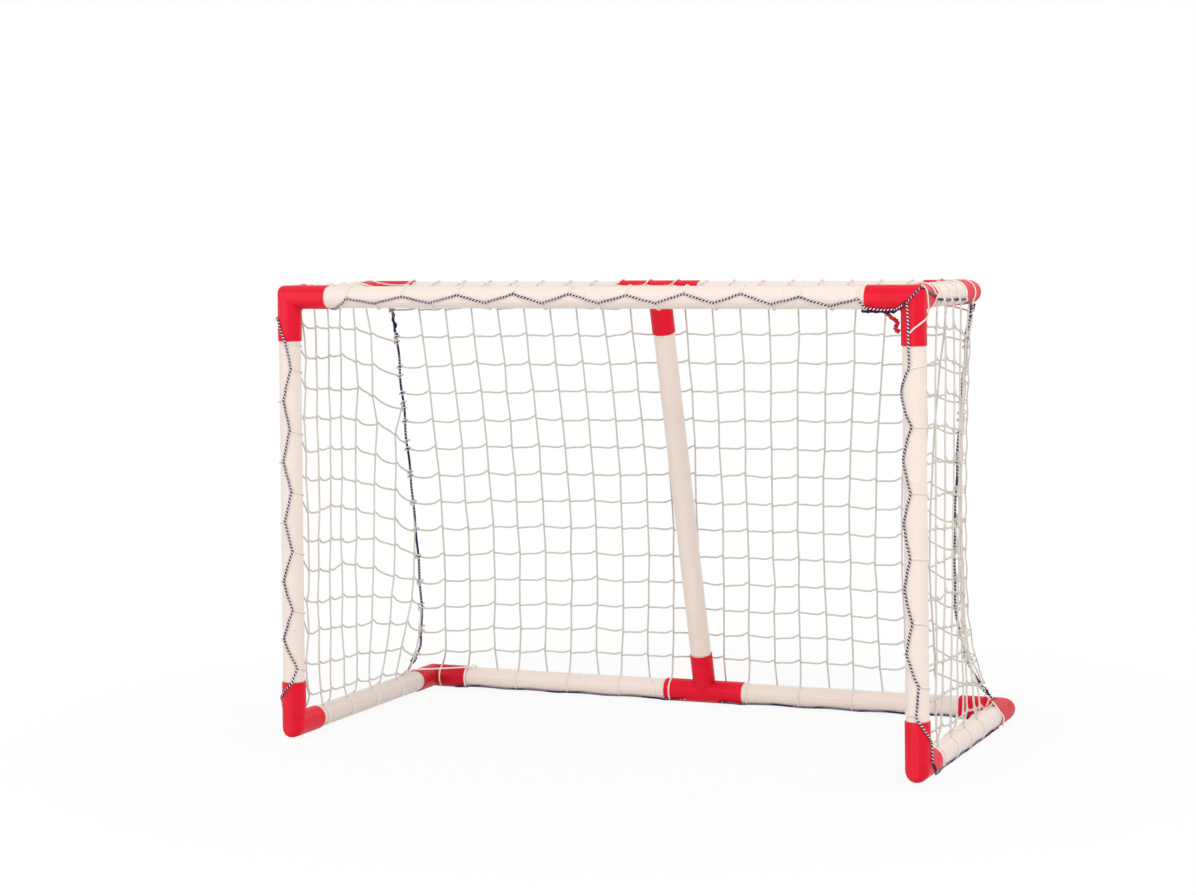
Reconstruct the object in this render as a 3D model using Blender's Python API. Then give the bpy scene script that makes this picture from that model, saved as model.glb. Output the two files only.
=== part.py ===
"""Knock-down hockey goal: white plastic tubes pushed into red moulded fittings, with a laced net.

Units are metres and +Z is up. +X runs along the crossbar and the mouth faces -Y. The origin is on the
floor under the middle of the goal. Every tube ends on a stop inside its socket, as it does on the real
goal, so the frame comes apart into twelve tubes and ten fittings.
"""

import math

import bmesh
import bpy
from mathutils import Vector

# Frame, between the centre lines of the tubes
POST_SPACING = 0.988
BAR_HEIGHT = 0.675
TOP_DEPTH = 0.294
BASE_DEPTH = 0.482

# Tubes
TUBE_DIAMETER = 0.0334
TUBE_WALL = 0.0022

# Moulded fittings: reach is from the corner's centre to a socket's mouth, stop is to the tube's end
FITTING_DIAMETER = 0.0366
FITTING_REACH = 0.067
SOCKET_STOP = 0.022
SOCKET_CLEARANCE = 0.0003
RIM_CHAMFER = 0.0007
OUTER_CORNER_RADIUS = 0.010
INNER_CORNER_RADIUS = 0.0012
BRANCH_RELIEF = 0.0001
PASSAGE_RELIEF = 0.001

# Net: width and thickness of a strand, and how many gaps each panel has across and down
STRAND_WIDTH = 0.0026
STRAND_THICKNESS = 0.002
SEAT_GAP = 0.0003
BACK_GAPS = (13, 9)
SIDE_GAPS = (5, 9)
TOP_GAPS = (13, 4)
BACK_WRAP = math.radians(62)
SIDE_WRAP = math.radians(55)
SIDE_HANG = math.radians(-28)
EDGE_SPACING = 0.008

# Border cord, laced along the net's front edge
BORDER_CORD_DIAMETER = 0.0024
LACING_PITCH = 0.0905
LACING_INSET = 0.008
BAR_LACING = (math.radians(-11), math.radians(20))
POST_LACING = (math.radians(18), math.radians(27))
BASE_LACING = (math.radians(52), math.radians(8))
LACING_SHARPNESS = 0.95
POINTS_PER_HALF_WAVE = 3
BASE_POINTS_PER_HALF_WAVE = 2

# Seam cord, along the outside of each top side tube, over the net and below the tube's middle
SEAM_DROP = 0.009
SEAM_SAG = 0.002
SEAM_START = 0.030
SEAM_POINTS = 13

# Corner ropes: share of the drop, then how far the rope is drawn inward and forward of its own chord
ROPE_DIAMETER = 0.0036
ROPE_POINTS = 26
ROPE_LANDING = 0.054
ROPE_OVERHANG = 0.004
ROPE_BULGE = (
    (0.00, 0.000, 0.000),
    (0.10, 0.013, 0.004),
    (0.25, 0.024, 0.013),
    (0.45, 0.034, 0.027),
    (0.65, 0.040, 0.039),
    (0.78, 0.040, 0.043),
    (0.88, 0.031, 0.035),
    (0.95, 0.016, 0.018),
    (1.00, 0.000, 0.000),
)

# Red tie in the mouth's upper right corner: across, forward and up from the corner's centre
TIE_DIAMETER = 0.003
TIE_POINTS = 22
TIE_ROUTE = (
    (-0.047, 0.002, -0.0203),
    (-0.041, -0.001, -0.0245),
    (-0.034, -0.004, -0.030),
    (-0.027, 0.001, -0.033),
    (-0.0235, 0.004, -0.039),
    (-0.026, 0.001, -0.046),
    (-0.023, -0.003, -0.050),
    (-0.0203, 0.000, -0.055),
)

# Roundness of tubes and fittings; the corner takes its turn in this many steps
SIDES = 20
CORNER_STEPS = 4
CORD_RESOLUTION = 2
SHARP_ANGLE = math.radians(35)

# Values worked out from the sizes above
HALF_STEP = math.pi / SIDES
FITTING_RADIUS = FITTING_DIAMETER / 2
TUBE_RADIUS = TUBE_DIAMETER / 2
PASSAGE_RADIUS = TUBE_RADIUS - TUBE_WALL
SOCKET_RADIUS = TUBE_RADIUS + SOCKET_CLEARANCE
FLAT_RADIUS = FITTING_RADIUS * math.cos(HALF_STEP)
STRAND_HALF = math.hypot(STRAND_WIDTH, STRAND_THICKNESS) / 2
NET_STANDOFF = SEAT_GAP + STRAND_HALF
NET_RADIUS = FITTING_RADIUS + NET_STANDOFF
HALF_WIDTH = POST_SPACING / 2
BASE_Z = FLAT_RADIUS
BAR_Z = BAR_HEIGHT
BRACE_TILT = math.atan2(BASE_DEPTH - TOP_DEPTH, BAR_Z - BASE_Z)

# The cord stands out in front and the net behind, so the origin is halfway between the two
FRONT_OVERHANG = TUBE_RADIUS + SEAT_GAP + BORDER_CORD_DIAMETER
NET_OUTSIDE = (NET_RADIUS + STRAND_THICKNESS / 2) * math.cos(BRACE_TILT)
REAR_OVERHANG = NET_OUTSIDE + STRAND_WIDTH / 2 * math.sin(BRACE_TILT)
FRONT_Y = (FRONT_OVERHANG - REAR_OVERHANG - BASE_DEPTH) / 2
REAR_Y = FRONT_Y + BASE_DEPTH
TOP_Y = FRONT_Y + TOP_DEPTH

X = Vector((1, 0, 0))
Y = Vector((0, 1, 0))
Z = Vector((0, 0, 1))

# Colour, roughness and metallic value of each material
WHITE_PLASTIC = ("white_plastic", (0.83, 0.76, 0.68), 0.38, 0.0)
RED_PLASTIC = ("red_plastic", (0.72, 0.004, 0.022), 0.34, 0.0)
NET_CORD = ("net_cord", (0.66, 0.60, 0.53), 0.9, 0.0)
NAVY_CORD = ("navy_cord", (0.03, 0.025, 0.075), 0.85, 0.0)
RED_CORD = ("red_cord", (0.62, 0.006, 0.02), 0.6, 0.0)


def material(look):
    name, colour, roughness, metallic = look
    found = bpy.data.materials.get(name)
    if found:
        return found
    made = bpy.data.materials.new(name)
    made.use_nodes = True
    shader = made.node_tree.nodes["Principled BSDF"]
    shader.inputs["Base Color"].default_value = (*colour, 1.0)
    shader.inputs["Roughness"].default_value = roughness
    shader.inputs["Metallic"].default_value = metallic
    return made


def solid(name, rings, look=None, closed=False):
    """Mesh object whose rings of points are joined in order, with its ends capped or joined."""
    mesh = bmesh.new()
    loops = [[mesh.verts.new(point) for point in ring] for ring in rings]
    pairs = list(zip(loops, loops[1:]))
    if closed:
        pairs.append((loops[-1], loops[0]))
    else:
        mesh.faces.new(loops[0])
        mesh.faces.new(loops[-1])
    for lower, upper in pairs:
        for k in range(len(lower)):
            following = (k + 1) % len(lower)
            mesh.faces.new((lower[k], lower[following], upper[following], upper[k]))
    bmesh.ops.recalc_face_normals(mesh, faces=mesh.faces)
    return link(name, mesh, look)


def link(name, mesh, look):
    data = bpy.data.meshes.new(name)
    mesh.to_mesh(data)
    mesh.free()
    made = bpy.data.objects.new(name, data)
    bpy.context.scene.collection.objects.link(made)
    if look:
        data.materials.append(material(look))
        smooth(data)
    return made


def smooth(data):
    data.shade_smooth()
    data.set_sharp_from_angle(angle=SHARP_ANGLE)


def circle(centre, across, along_normal, radius):
    """Ring of points with a flat side facing each of its two axes."""
    points = []
    for k in range(SIDES):
        angle = (2 * k + 1) * HALF_STEP
        points.append(centre + across * (radius * math.cos(angle)) + along_normal * (radius * math.sin(angle)))
    return points


def tube(name, start, end):
    """Hollow tube between two points, along X or square to it, its ends square."""
    direction = (end - start).normalized()
    across = Y if abs(direction.x) > 0.5 else X
    normal = direction.cross(across)
    rings = [
        circle(start, across, normal, TUBE_RADIUS),
        circle(end, across, normal, TUBE_RADIUS),
        circle(end, across, normal, PASSAGE_RADIUS),
        circle(start, across, normal, PASSAGE_RADIUS),
    ]
    return solid(name, rings, WHITE_PLASTIC, closed=True)


def leg_ring(corner, leg, other, distance, radius):
    """Ring across one leg of an elbow, its first axis pointing away from the other leg."""
    return circle(corner + leg * distance, -other, leg.cross(other), radius)


def corner_rings(corner, first, second, radius, steps, outer_radius, inner_radius):
    """Rings that turn from the first leg to the second, tight inside and rounder outside."""
    normal = first.cross(second)
    rings = []
    for step in range(steps + 1):
        turn = math.pi / 2 * step / steps
        ring = []
        for k in range(SIDES):
            angle = (2 * k + 1) * HALF_STEP
            outward = radius * math.cos(angle)
            share = ((1 + math.cos(angle)) / 2) ** 2
            fillet = inner_radius + (outer_radius - inner_radius) * share
            centre = corner + (first + second) * (fillet - outward)
            swing = second * math.cos(turn) + first * math.sin(turn)
            ring.append(centre - swing * fillet + normal * (radius * math.sin(angle)))
        rings.append(ring)
    return rings


def mitre_ring(corner, first, second, radius):
    """Ring on the plane that halves the corner, for the passage inside a fitting."""
    normal = first.cross(second)
    ring = []
    for k in range(SIDES):
        angle = (2 * k + 1) * HALF_STEP
        outward = radius * math.cos(angle)
        ring.append(corner - (first + second) * outward + normal * (radius * math.sin(angle)))
    return ring


def second_leg_ring(corner, first, second, distance, radius):
    """Ring across the second leg, in step with the rings of the first."""
    return circle(corner + second * distance, -first, first.cross(second), radius)


def elbow_outside(corner, first, second):
    rim = FITTING_REACH - RIM_CHAMFER
    lip = FITTING_RADIUS - RIM_CHAMFER
    rings = [
        leg_ring(corner, first, second, FITTING_REACH, lip),
        leg_ring(corner, first, second, rim, FITTING_RADIUS),
    ]
    rings += corner_rings(
        corner, first, second, FITTING_RADIUS, CORNER_STEPS, OUTER_CORNER_RADIUS, INNER_CORNER_RADIUS
    )
    rings += [
        second_leg_ring(corner, first, second, rim, FITTING_RADIUS),
        second_leg_ring(corner, first, second, FITTING_REACH, lip),
    ]
    return rings


def elbow_inside(corner, first, second, mouth):
    """Both sockets, their stops and the passage between them, from the second mouth to the first."""
    return [
        second_leg_ring(corner, first, second, mouth, SOCKET_RADIUS),
        second_leg_ring(corner, first, second, SOCKET_STOP, SOCKET_RADIUS),
        second_leg_ring(corner, first, second, SOCKET_STOP, PASSAGE_RADIUS),
        mitre_ring(corner, first, second, PASSAGE_RADIUS),
        leg_ring(corner, first, second, SOCKET_STOP, PASSAGE_RADIUS),
        leg_ring(corner, first, second, SOCKET_STOP, SOCKET_RADIUS),
        leg_ring(corner, first, second, mouth, SOCKET_RADIUS),
    ]


def elbow(name, corner, first, second):
    """Hollow two-way elbow."""
    rings = elbow_outside(corner, first, second) + elbow_inside(corner, first, second, FITTING_REACH)
    return solid(name, rings, RED_PLASTIC, closed=True)


def branch(name, corner, leg, across):
    """Plain leg of a fitting, to be joined to its body."""
    normal = leg.cross(across)
    radius = FITTING_RADIUS - BRANCH_RELIEF
    rings = [
        circle(corner, across, normal, radius),
        circle(corner + leg * (FITTING_REACH - RIM_CHAMFER), across, normal, radius),
        circle(corner + leg * FITTING_REACH, across, normal, radius - RIM_CHAMFER),
    ]
    return solid(name, rings)


def branch_bore(name, corner, leg, across):
    """Cutter for a branch's socket and the passage that leads into the body."""
    normal = leg.cross(across)
    narrow = PASSAGE_RADIUS - PASSAGE_RELIEF
    rings = [
        circle(corner, across, normal, narrow),
        circle(corner + leg * SOCKET_STOP, across, normal, narrow),
        circle(corner + leg * SOCKET_STOP, across, normal, SOCKET_RADIUS),
        circle(corner + leg * (FITTING_REACH + RIM_CHAMFER), across, normal, SOCKET_RADIUS),
    ]
    return solid(name, rings)


def carve(body, steps, look):
    """Body with its other solids joined or cut away in order, kept as one mesh."""
    for operation, other in steps:
        change = body.modifiers.new(other.name, "BOOLEAN")
        change.operation = operation
        change.solver = "EXACT"
        change.object = other
    bpy.context.view_layer.update()
    evaluated = body.evaluated_get(bpy.context.evaluated_depsgraph_get())
    data = bpy.data.meshes.new_from_object(evaluated)
    data.name = body.name
    body.modifiers.clear()
    body.data = data
    data.materials.clear()
    data.materials.append(material(look))
    smooth(data)
    for _, other in steps:
        bpy.data.objects.remove(other)
    return body


def three_way_corner(name, corner, inward):
    """Front top corner: crossbar leg, post leg and the leg that runs back, mitred together."""
    body = solid(name, elbow_outside(corner, inward, -Z))
    sockets = solid(name + "_sockets", elbow_inside(corner, inward, -Z, FITTING_REACH + RIM_CHAMFER))
    steps = (
        ("UNION", branch(name + "_leg", corner, Y, X)),
        ("DIFFERENCE", sockets),
        ("DIFFERENCE", branch_bore(name + "_bore", corner, Y, X)),
    )
    return carve(body, steps, RED_PLASTIC)


def tee(name, centre, leg):
    """Tee on a rear bar: a straight run along X and a leg in line with the brace."""
    across = leg.cross(X)
    rim = FITTING_REACH - RIM_CHAMFER
    lip = FITTING_RADIUS - RIM_CHAMFER
    mouth = FITTING_REACH + RIM_CHAMFER
    outside = ((-FITTING_REACH, lip), (-rim, FITTING_RADIUS), (rim, FITTING_RADIUS), (FITTING_REACH, lip))
    inside = (
        (-mouth, SOCKET_RADIUS),
        (-SOCKET_STOP, SOCKET_RADIUS),
        (-SOCKET_STOP, PASSAGE_RADIUS),
        (SOCKET_STOP, PASSAGE_RADIUS),
        (SOCKET_STOP, SOCKET_RADIUS),
        (mouth, SOCKET_RADIUS),
    )
    body = solid(name, [circle(centre + X * along, Y, Z, radius) for along, radius in outside])
    run = solid(name + "_run", [circle(centre + X * along, Y, Z, radius) for along, radius in inside])
    steps = (
        ("UNION", branch(name + "_leg", centre, leg, across)),
        ("DIFFERENCE", run),
        ("DIFFERENCE", branch_bore(name + "_bore", centre, leg, across)),
    )
    return carve(body, steps, RED_PLASTIC)


def catmull_rom(points, share):
    """Point at a share from 0 to 1 of the way through a list of points, on a smooth curve."""
    spans = len(points) - 1
    place = min(max(share, 0.0), 1.0) * spans
    span = min(int(place), spans - 1)
    t = place - span
    before = points[max(span - 1, 0)]
    start = points[span]
    end = points[span + 1]
    after = points[min(span + 2, spans)]
    straight = start * 2 + (end - before) * t
    bend = (before * 2 - start * 5 + end * 4 - after) * t ** 2
    twist = (start * 3 - before - end * 3 + after) * t ** 3
    return (straight + bend + twist) / 2


def cord(name, points, diameter, look):
    """Round cord along a list of points, with filled ends."""
    curve = bpy.data.curves.new(name, "CURVE")
    curve.dimensions = "3D"
    curve.bevel_depth = diameter / 2
    curve.bevel_resolution = CORD_RESOLUTION
    curve.use_fill_caps = True
    spline = curve.splines.new("POLY")
    spline.points.add(len(points) - 1)
    for spot, point in zip(spline.points, points):
        spot.co = (*point, 1.0)
    spline.use_smooth = True
    curve.materials.append(material(look))
    made = bpy.data.objects.new(name, curve)
    bpy.context.scene.collection.objects.link(made)
    return made


def lacing(name, tube_ends, forward, sideways, lean, detail=POINTS_PER_HALF_WAVE):
    """Border cord that zigzags along a tube between its fittings, two net gaps to a wave."""
    first, last = tube_ends
    clear = (last - first).normalized() * (FITTING_REACH + LACING_INSET)
    start = first + clear
    end = last - clear
    middle, swing = lean
    radius = TUBE_RADIUS + SEAT_GAP + BORDER_CORD_DIAMETER / 2
    half_waves = round((end - start).length / LACING_PITCH * 2)
    count = half_waves * detail
    points = []
    for step in range(count + 1):
        phase = math.pi * (step / detail + 0.5)
        wave = math.asin(LACING_SHARPNESS * math.sin(phase)) / math.asin(LACING_SHARPNESS)
        angle = middle + swing * wave
        around = forward * math.cos(angle) + sideways * math.sin(angle)
        points.append(start.lerp(end, step / count) + around * radius)
    return cord(name, points, BORDER_CORD_DIAMETER, NAVY_CORD)


def seam_cord(side, name):
    """Cord that lies on the side net along a top side tube, from the corner to the rear elbow."""
    outside = side * (HALF_WIDTH + NET_RADIUS + (STRAND_THICKNESS + BORDER_CORD_DIAMETER) / 2)
    start = Vector((outside, FRONT_Y + SEAM_START, BAR_Z - SEAM_DROP))
    end = Vector((outside, TOP_Y, BAR_Z - SEAM_DROP))
    points = []
    for step in range(SEAM_POINTS):
        share = step / (SEAM_POINTS - 1)
        points.append(start.lerp(end, share) - Z * SEAM_SAG * math.sin(math.pi * share))
    return cord(name, points, BORDER_CORD_DIAMETER, NAVY_CORD)


def rope_ends(side):
    """Where a corner rope leaves the rear top elbow and where it lands on the rear bottom elbow."""
    standoff = FITTING_RADIUS + SEAT_GAP + ROPE_DIAMETER / 2
    top = Vector((side * (HALF_WIDTH + ROPE_OVERHANG), TOP_Y + standoff, BAR_Z))
    bottom = Vector((side * HALF_WIDTH, REAR_Y - ROPE_LANDING, BASE_Z + standoff))
    return top, bottom


def rope_point(side, share):
    """Point of a corner rope at a share of its drop."""
    top, bottom = rope_ends(side)
    shares = [row[0] for row in ROPE_BULGE]
    span = max(k for k in range(len(shares) - 1) if shares[k] <= share or k == 0)
    inside = (share - shares[span]) / (shares[span + 1] - shares[span])
    offsets = [Vector(row[1:] + (0,)) for row in ROPE_BULGE]
    offset = catmull_rom(offsets, (span + inside) / (len(offsets) - 1))
    return top.lerp(bottom, share) + Vector((-side * offset.x, -offset.y, 0))


def corner_rope(side, name):
    points = [rope_point(side, step / (ROPE_POINTS - 1)) for step in range(ROPE_POINTS)]
    return cord(name, points, ROPE_DIAMETER, NAVY_CORD)


def corner_tie():
    """Red tie that holds the net in the inner corner of the mouth."""
    corner = Vector((HALF_WIDTH, FRONT_Y, BAR_Z))
    route = [corner + Vector(point) for point in TIE_ROUTE]
    points = [catmull_rom(route, step / (TIE_POINTS - 1)) for step in range(TIE_POINTS)]
    return cord("corner_tie", points, TIE_DIAMETER, RED_CORD)


def lattice(name, place, gaps):
    """Net panel with real gaps: place(s, t) gives the panel's point at two shares from 0 to 1."""
    columns, rows = gaps
    grid = [[place(i / columns, j / rows) for j in range(rows + 1)] for i in range(columns + 1)]
    mesh = bmesh.new()
    verts = {}
    for i in range(columns + 1):
        for j in range(rows + 1):
            across = (grid[min(i + 1, columns)][j] - grid[max(i - 1, 0)][j]).normalized()
            down = (grid[i][min(j + 1, rows)] - grid[i][max(j - 1, 0)]).normalized()
            normal = across.cross(down).normalized()
            for a in (-1, 1):
                for d in (-1, 1):
                    for n in (-1, 1):
                        offset = (across * a + down * d) * STRAND_WIDTH / 2 + normal * n * STRAND_THICKNESS / 2
                        verts[i, j, a, d, n] = mesh.verts.new(grid[i][j] + offset)

    def quad(*keys):
        mesh.faces.new([verts[key] for key in keys])

    for i in range(columns + 1):
        for j in range(rows + 1):
            for n in (-1, 1):
                quad((i, j, -1, -1, n), (i, j, 1, -1, n), (i, j, 1, 1, n), (i, j, -1, 1, n))
                if i < columns:
                    quad((i, j, 1, -1, n), (i + 1, j, -1, -1, n), (i + 1, j, -1, 1, n), (i, j, 1, 1, n))
                if j < rows:
                    quad((i, j, -1, 1, n), (i, j, 1, 1, n), (i, j + 1, 1, -1, n), (i, j + 1, -1, -1, n))
            if i < columns:
                for d in (-1, 1):
                    quad((i, j, 1, d, -1), (i + 1, j, -1, d, -1), (i + 1, j, -1, d, 1), (i, j, 1, d, 1))
            if j < rows:
                for a in (-1, 1):
                    quad((i, j, a, 1, -1), (i, j + 1, a, -1, -1), (i, j + 1, a, -1, 1), (i, j, a, 1, 1))
            if i in (0, columns):
                a = 1 if i else -1
                quad((i, j, a, -1, -1), (i, j, a, 1, -1), (i, j, a, 1, 1), (i, j, a, -1, 1))
            if j in (0, rows):
                d = 1 if j else -1
                quad((i, j, -1, d, -1), (i, j, 1, d, -1), (i, j, 1, d, 1), (i, j, -1, d, 1))
    bmesh.ops.recalc_face_normals(mesh, faces=mesh.faces)
    return link(name, mesh, NET_CORD)


def beside(axis_point, outward, angle):
    """Point on the net's side of a bar, at an angle above the level."""
    return axis_point + outward * (NET_RADIUS * math.cos(angle)) + Z * (NET_RADIUS * math.sin(angle))


def back_edge(side, t):
    """Net point next to a corner rope, from the rear top bar to the rear bottom bar."""
    if t == 0:
        return beside(Vector((side * (HALF_WIDTH - EDGE_SPACING), TOP_Y, BAR_Z)), Y, 0)
    if t == 1:
        landing = HALF_WIDTH - FITTING_REACH / 2
        return beside(Vector((side * landing, REAR_Y, BASE_Z)), Y, BACK_WRAP)
    return rope_point(side, t) - X * side * EDGE_SPACING


def back_place(s, t):
    """Back panel: flat behind the brace, and drawn forward toward the corner ropes."""
    centre = abs(2 * s - 1)
    flat = 1 / BACK_GAPS[0]
    pull = max(0.0, (centre - flat) / (1 - flat)) ** 2
    side = 1 if s > 0.5 else -1
    edge = back_edge(side, t)
    top = beside(Vector((0, TOP_Y, BAR_Z)), Y, BRACE_TILT)
    bottom = beside(Vector((0, REAR_Y, BASE_Z)), Y, BRACE_TILT)
    middle = top.lerp(bottom, t)
    if t == 1:
        angle = BRACE_TILT + (BACK_WRAP - BRACE_TILT) * pull
        middle = beside(Vector((0, REAR_Y, BASE_Z)), Y, angle)
        edge = Vector((edge.x, middle.y, middle.z))
    blended = middle.lerp(edge, pull)
    return Vector((side * abs(edge.x) * centre, blended.y, blended.z))


def side_edge(side, t):
    """Net point in front of a corner rope, from the top side tube to the base side tube."""
    if t == 0:
        return beside(Vector((side * HALF_WIDTH, TOP_Y, BAR_Z)), X * side, SIDE_HANG)
    return rope_point(side, t) - Y * EDGE_SPACING


def side_place(side):
    """Side panel: straight outside the post, and drawn inward toward the corner rope."""
    def place(s, t):
        front = beside(Vector((side * HALF_WIDTH, FRONT_Y, BAR_Z)), X * side, 0)
        front.z = BAR_Z + (BASE_Z - BAR_Z) * t
        rear = side_edge(side, t)
        depth = front.y + (rear.y - front.y) * s
        if t == 0:
            return beside(Vector((side * HALF_WIDTH, depth, BAR_Z)), X * side, SIDE_HANG * s)
        if t == 1:
            return beside(Vector((side * HALF_WIDTH, depth, BASE_Z)), X * side, SIDE_WRAP * s)
        return front.lerp(rear, s)
    return place


def top_place(s, t):
    """Top panel: flat on the corners and the rear tee, from the crossbar to the rear top bar."""
    level = BAR_Z + FITTING_RADIUS + SEAT_GAP + STRAND_THICKNESS / 2
    return Vector((POST_SPACING * (s - 0.5), FRONT_Y + TOP_DEPTH * t, level))


def socketed(name, start, end):
    """Tube between two corner centres, cut to end on the sockets' stops."""
    direction = (end - start).normalized()
    inset = direction * (SOCKET_STOP + SEAT_GAP)
    return tube(name, start + inset, end - inset)


def build():
    for old in list(bpy.data.objects):
        bpy.data.objects.remove(old)

    top_centre = Vector((0, TOP_Y, BAR_Z))
    base_centre = Vector((0, REAR_Y, BASE_Z))
    brace = (base_centre - top_centre).normalized()
    front_top = {}

    for side, label in ((-1, "left"), (1, "right")):
        front_top[side] = Vector((side * HALF_WIDTH, FRONT_Y, BAR_Z))
        front_base = Vector((side * HALF_WIDTH, FRONT_Y, BASE_Z))
        rear_top = Vector((side * HALF_WIDTH, TOP_Y, BAR_Z))
        rear_base = Vector((side * HALF_WIDTH, REAR_Y, BASE_Z))
        inward = -X * side

        three_way_corner("corner_front_top_" + label, front_top[side], inward)
        elbow("elbow_front_base_" + label, front_base, Z, Y)
        elbow("elbow_rear_top_" + label, rear_top, -Y, inward)
        elbow("elbow_rear_base_" + label, rear_base, -Y, inward)

        socketed("post_tube_" + label, front_top[side], front_base)
        socketed("top_side_tube_" + label, front_top[side], rear_top)
        socketed("base_side_tube_" + label, front_base, rear_base)
        socketed("rear_top_tube_" + label, rear_top, top_centre)
        socketed("rear_base_tube_" + label, rear_base, base_centre)

        post = (front_top[side], front_base)
        lacing("border_cord_post_" + label, post, -Y, inward, POST_LACING)
        base_side = (front_base, rear_base)
        lacing("border_cord_base_" + label, base_side, -inward, -Z, BASE_LACING, BASE_POINTS_PER_HALF_WAVE)
        rear = (rear_base, base_centre)
        lacing("border_cord_rear_" + label, rear, -Y, -Z, BASE_LACING, BASE_POINTS_PER_HALF_WAVE)
        seam_cord(side, "seam_cord_top_" + label)
        corner_rope(side, "corner_rope_" + label)
        lattice("net_" + label, side_place(side), SIDE_GAPS)

    socketed("crossbar_tube", front_top[-1], front_top[1])
    socketed("brace_tube", top_centre, base_centre)
    tee("tee_rear_top", top_centre, brace)
    tee("tee_rear_base", base_centre, -brace)
    lattice("net_back", back_place, BACK_GAPS)
    lattice("net_top", top_place, TOP_GAPS)
    lacing("border_cord_crossbar", (front_top[-1], front_top[1]), -Y, Z, BAR_LACING)
    corner_tie()


build()
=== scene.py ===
# %% [markdown]
# # A floor hockey goal, strand by strand
# The CAD model gives this goal its frame: white plastic tubes pushed into red moulded fittings. A real goal
# is mostly net, though, and a net can't be a solid. So this lesson gives the tubes and fittings their
# finishes, and makes the net, its navy border cord and its knots as a net maker would: strands tied in
# squares, hung on the frame and left to sag.

# %% Load the CAD model as a fixed frame
import math

import bpy
import numpy as np
from mathutils import Matrix, Vector


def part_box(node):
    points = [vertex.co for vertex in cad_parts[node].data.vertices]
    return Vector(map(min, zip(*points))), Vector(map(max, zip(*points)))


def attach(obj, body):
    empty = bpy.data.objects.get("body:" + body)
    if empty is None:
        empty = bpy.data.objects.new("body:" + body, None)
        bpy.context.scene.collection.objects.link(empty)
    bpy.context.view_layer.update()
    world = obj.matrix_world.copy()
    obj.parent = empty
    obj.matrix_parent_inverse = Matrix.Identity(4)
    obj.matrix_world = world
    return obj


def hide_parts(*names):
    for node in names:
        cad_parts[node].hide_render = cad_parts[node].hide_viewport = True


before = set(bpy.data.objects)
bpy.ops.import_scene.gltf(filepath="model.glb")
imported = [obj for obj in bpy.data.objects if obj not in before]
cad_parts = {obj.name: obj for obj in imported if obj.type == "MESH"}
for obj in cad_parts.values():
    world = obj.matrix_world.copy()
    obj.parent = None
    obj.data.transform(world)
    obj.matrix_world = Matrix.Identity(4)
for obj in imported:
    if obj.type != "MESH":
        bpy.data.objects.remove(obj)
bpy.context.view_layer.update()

# %% [markdown]
# ## Where the frame is
# Every cord lies on a tube, so it needs the tubes' centre lines. They are read from the CAD nodes and not
# typed in again: the middle of a tube's box is a point on its axis.

# %% Centre lines and thicknesses
TUBE_RADIUS = 0.0167
FITTING_RADIUS = 0.0183
FITTING_REACH = 0.067
SOCKET_STOP = 0.022
SIDE_NAMES = {-1: "left", 1: "right"}
X, Y, Z = (Vector(axis) for axis in ((1, 0, 0), (0, 1, 0), (0, 0, 1)))


def middle(node):
    low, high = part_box(node)
    return (low + high) / 2


HALF_WIDTH = middle("post_tube_right").x
FRONT_Y = middle("crossbar_tube").y
BAR_Z = middle("crossbar_tube").z
TOP_Y = middle("rear_top_tube_right").y
REAR_Y = middle("rear_base_tube_right").y
BASE_Z = middle("rear_base_tube_right").z
TOP_DEPTH = TOP_Y - FRONT_Y
BASE_DEPTH = REAR_Y - FRONT_Y
BRACE = Vector((0, REAR_Y - TOP_Y, BASE_Z - BAR_Z)).normalized()
print("posts at +-%.3f, bars at y %.3f, %.3f and %.3f" % (HALF_WIDTH, FRONT_Y, TOP_Y, REAR_Y))


# %% Small helpers
def show(name, data):
    made = bpy.data.objects.new(name, data)
    bpy.context.scene.collection.objects.link(made)
    return made


def from_front(*places):
    """Places whose second number is the depth behind the crossbar."""
    return [Vector((x, FRONT_Y + depth, z)) for x, depth, z in places]


def between(rows, place):
    """Value between the rows of a short list of places and values."""
    return float(np.interp(place, *zip(*rows)))


def smooth_through(values, place):
    """Value at a place, counted in steps, on a smooth curve through a list of vectors."""
    step = min(max(int(place), 0), len(values) - 2)
    t = place - step
    before, start = values[max(step - 1, 0)], values[step]
    end, after = values[step + 1], values[min(step + 2, len(values) - 1)]
    straight = start * 2 + (end - before) * t
    bend = (before * 2 - start * 5 + end * 4 - after) * t ** 2
    twist = (start * 3 - before - end * 3 + after) * t ** 3
    return (straight + bend + twist) / 2


print("helpers ready")

# %% [markdown]
# ## Camera
# The goal was photographed from its right, a little above the crossbar, with a long lens. The lens looks
# almost level and the picture is shifted down to the floor. A shift keeps upright posts upright, where
# tilting the camera would make them lean.

# %% Camera
YAW, PITCH, ROLL = -0.3945, 0.0109, 0.0107
camera_data = bpy.data.cameras.new("camera")
camera_data.sensor_width = 36
camera_data.lens = 80.1
camera_data.shift_y = -0.1617
camera_data.clip_end = 60
camera = show("camera", camera_data)

ahead = Vector((math.sin(YAW) * math.cos(PITCH), math.cos(YAW) * math.cos(PITCH), -math.sin(PITCH)))
level = Vector((math.cos(YAW), -math.sin(YAW), 0))
below = ahead.cross(level)
across = level * math.cos(ROLL) + below * math.sin(ROLL)
below = below * math.cos(ROLL) - level * math.sin(ROLL)
camera.matrix_world = Matrix((across, -below, -ahead)).transposed().to_4x4()
camera.location = (1.5116, FRONT_Y - 3.5845, 0.7805)
bpy.context.scene.camera = camera
print("camera is %.2f m from the goal's middle" % camera.location.length)

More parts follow.
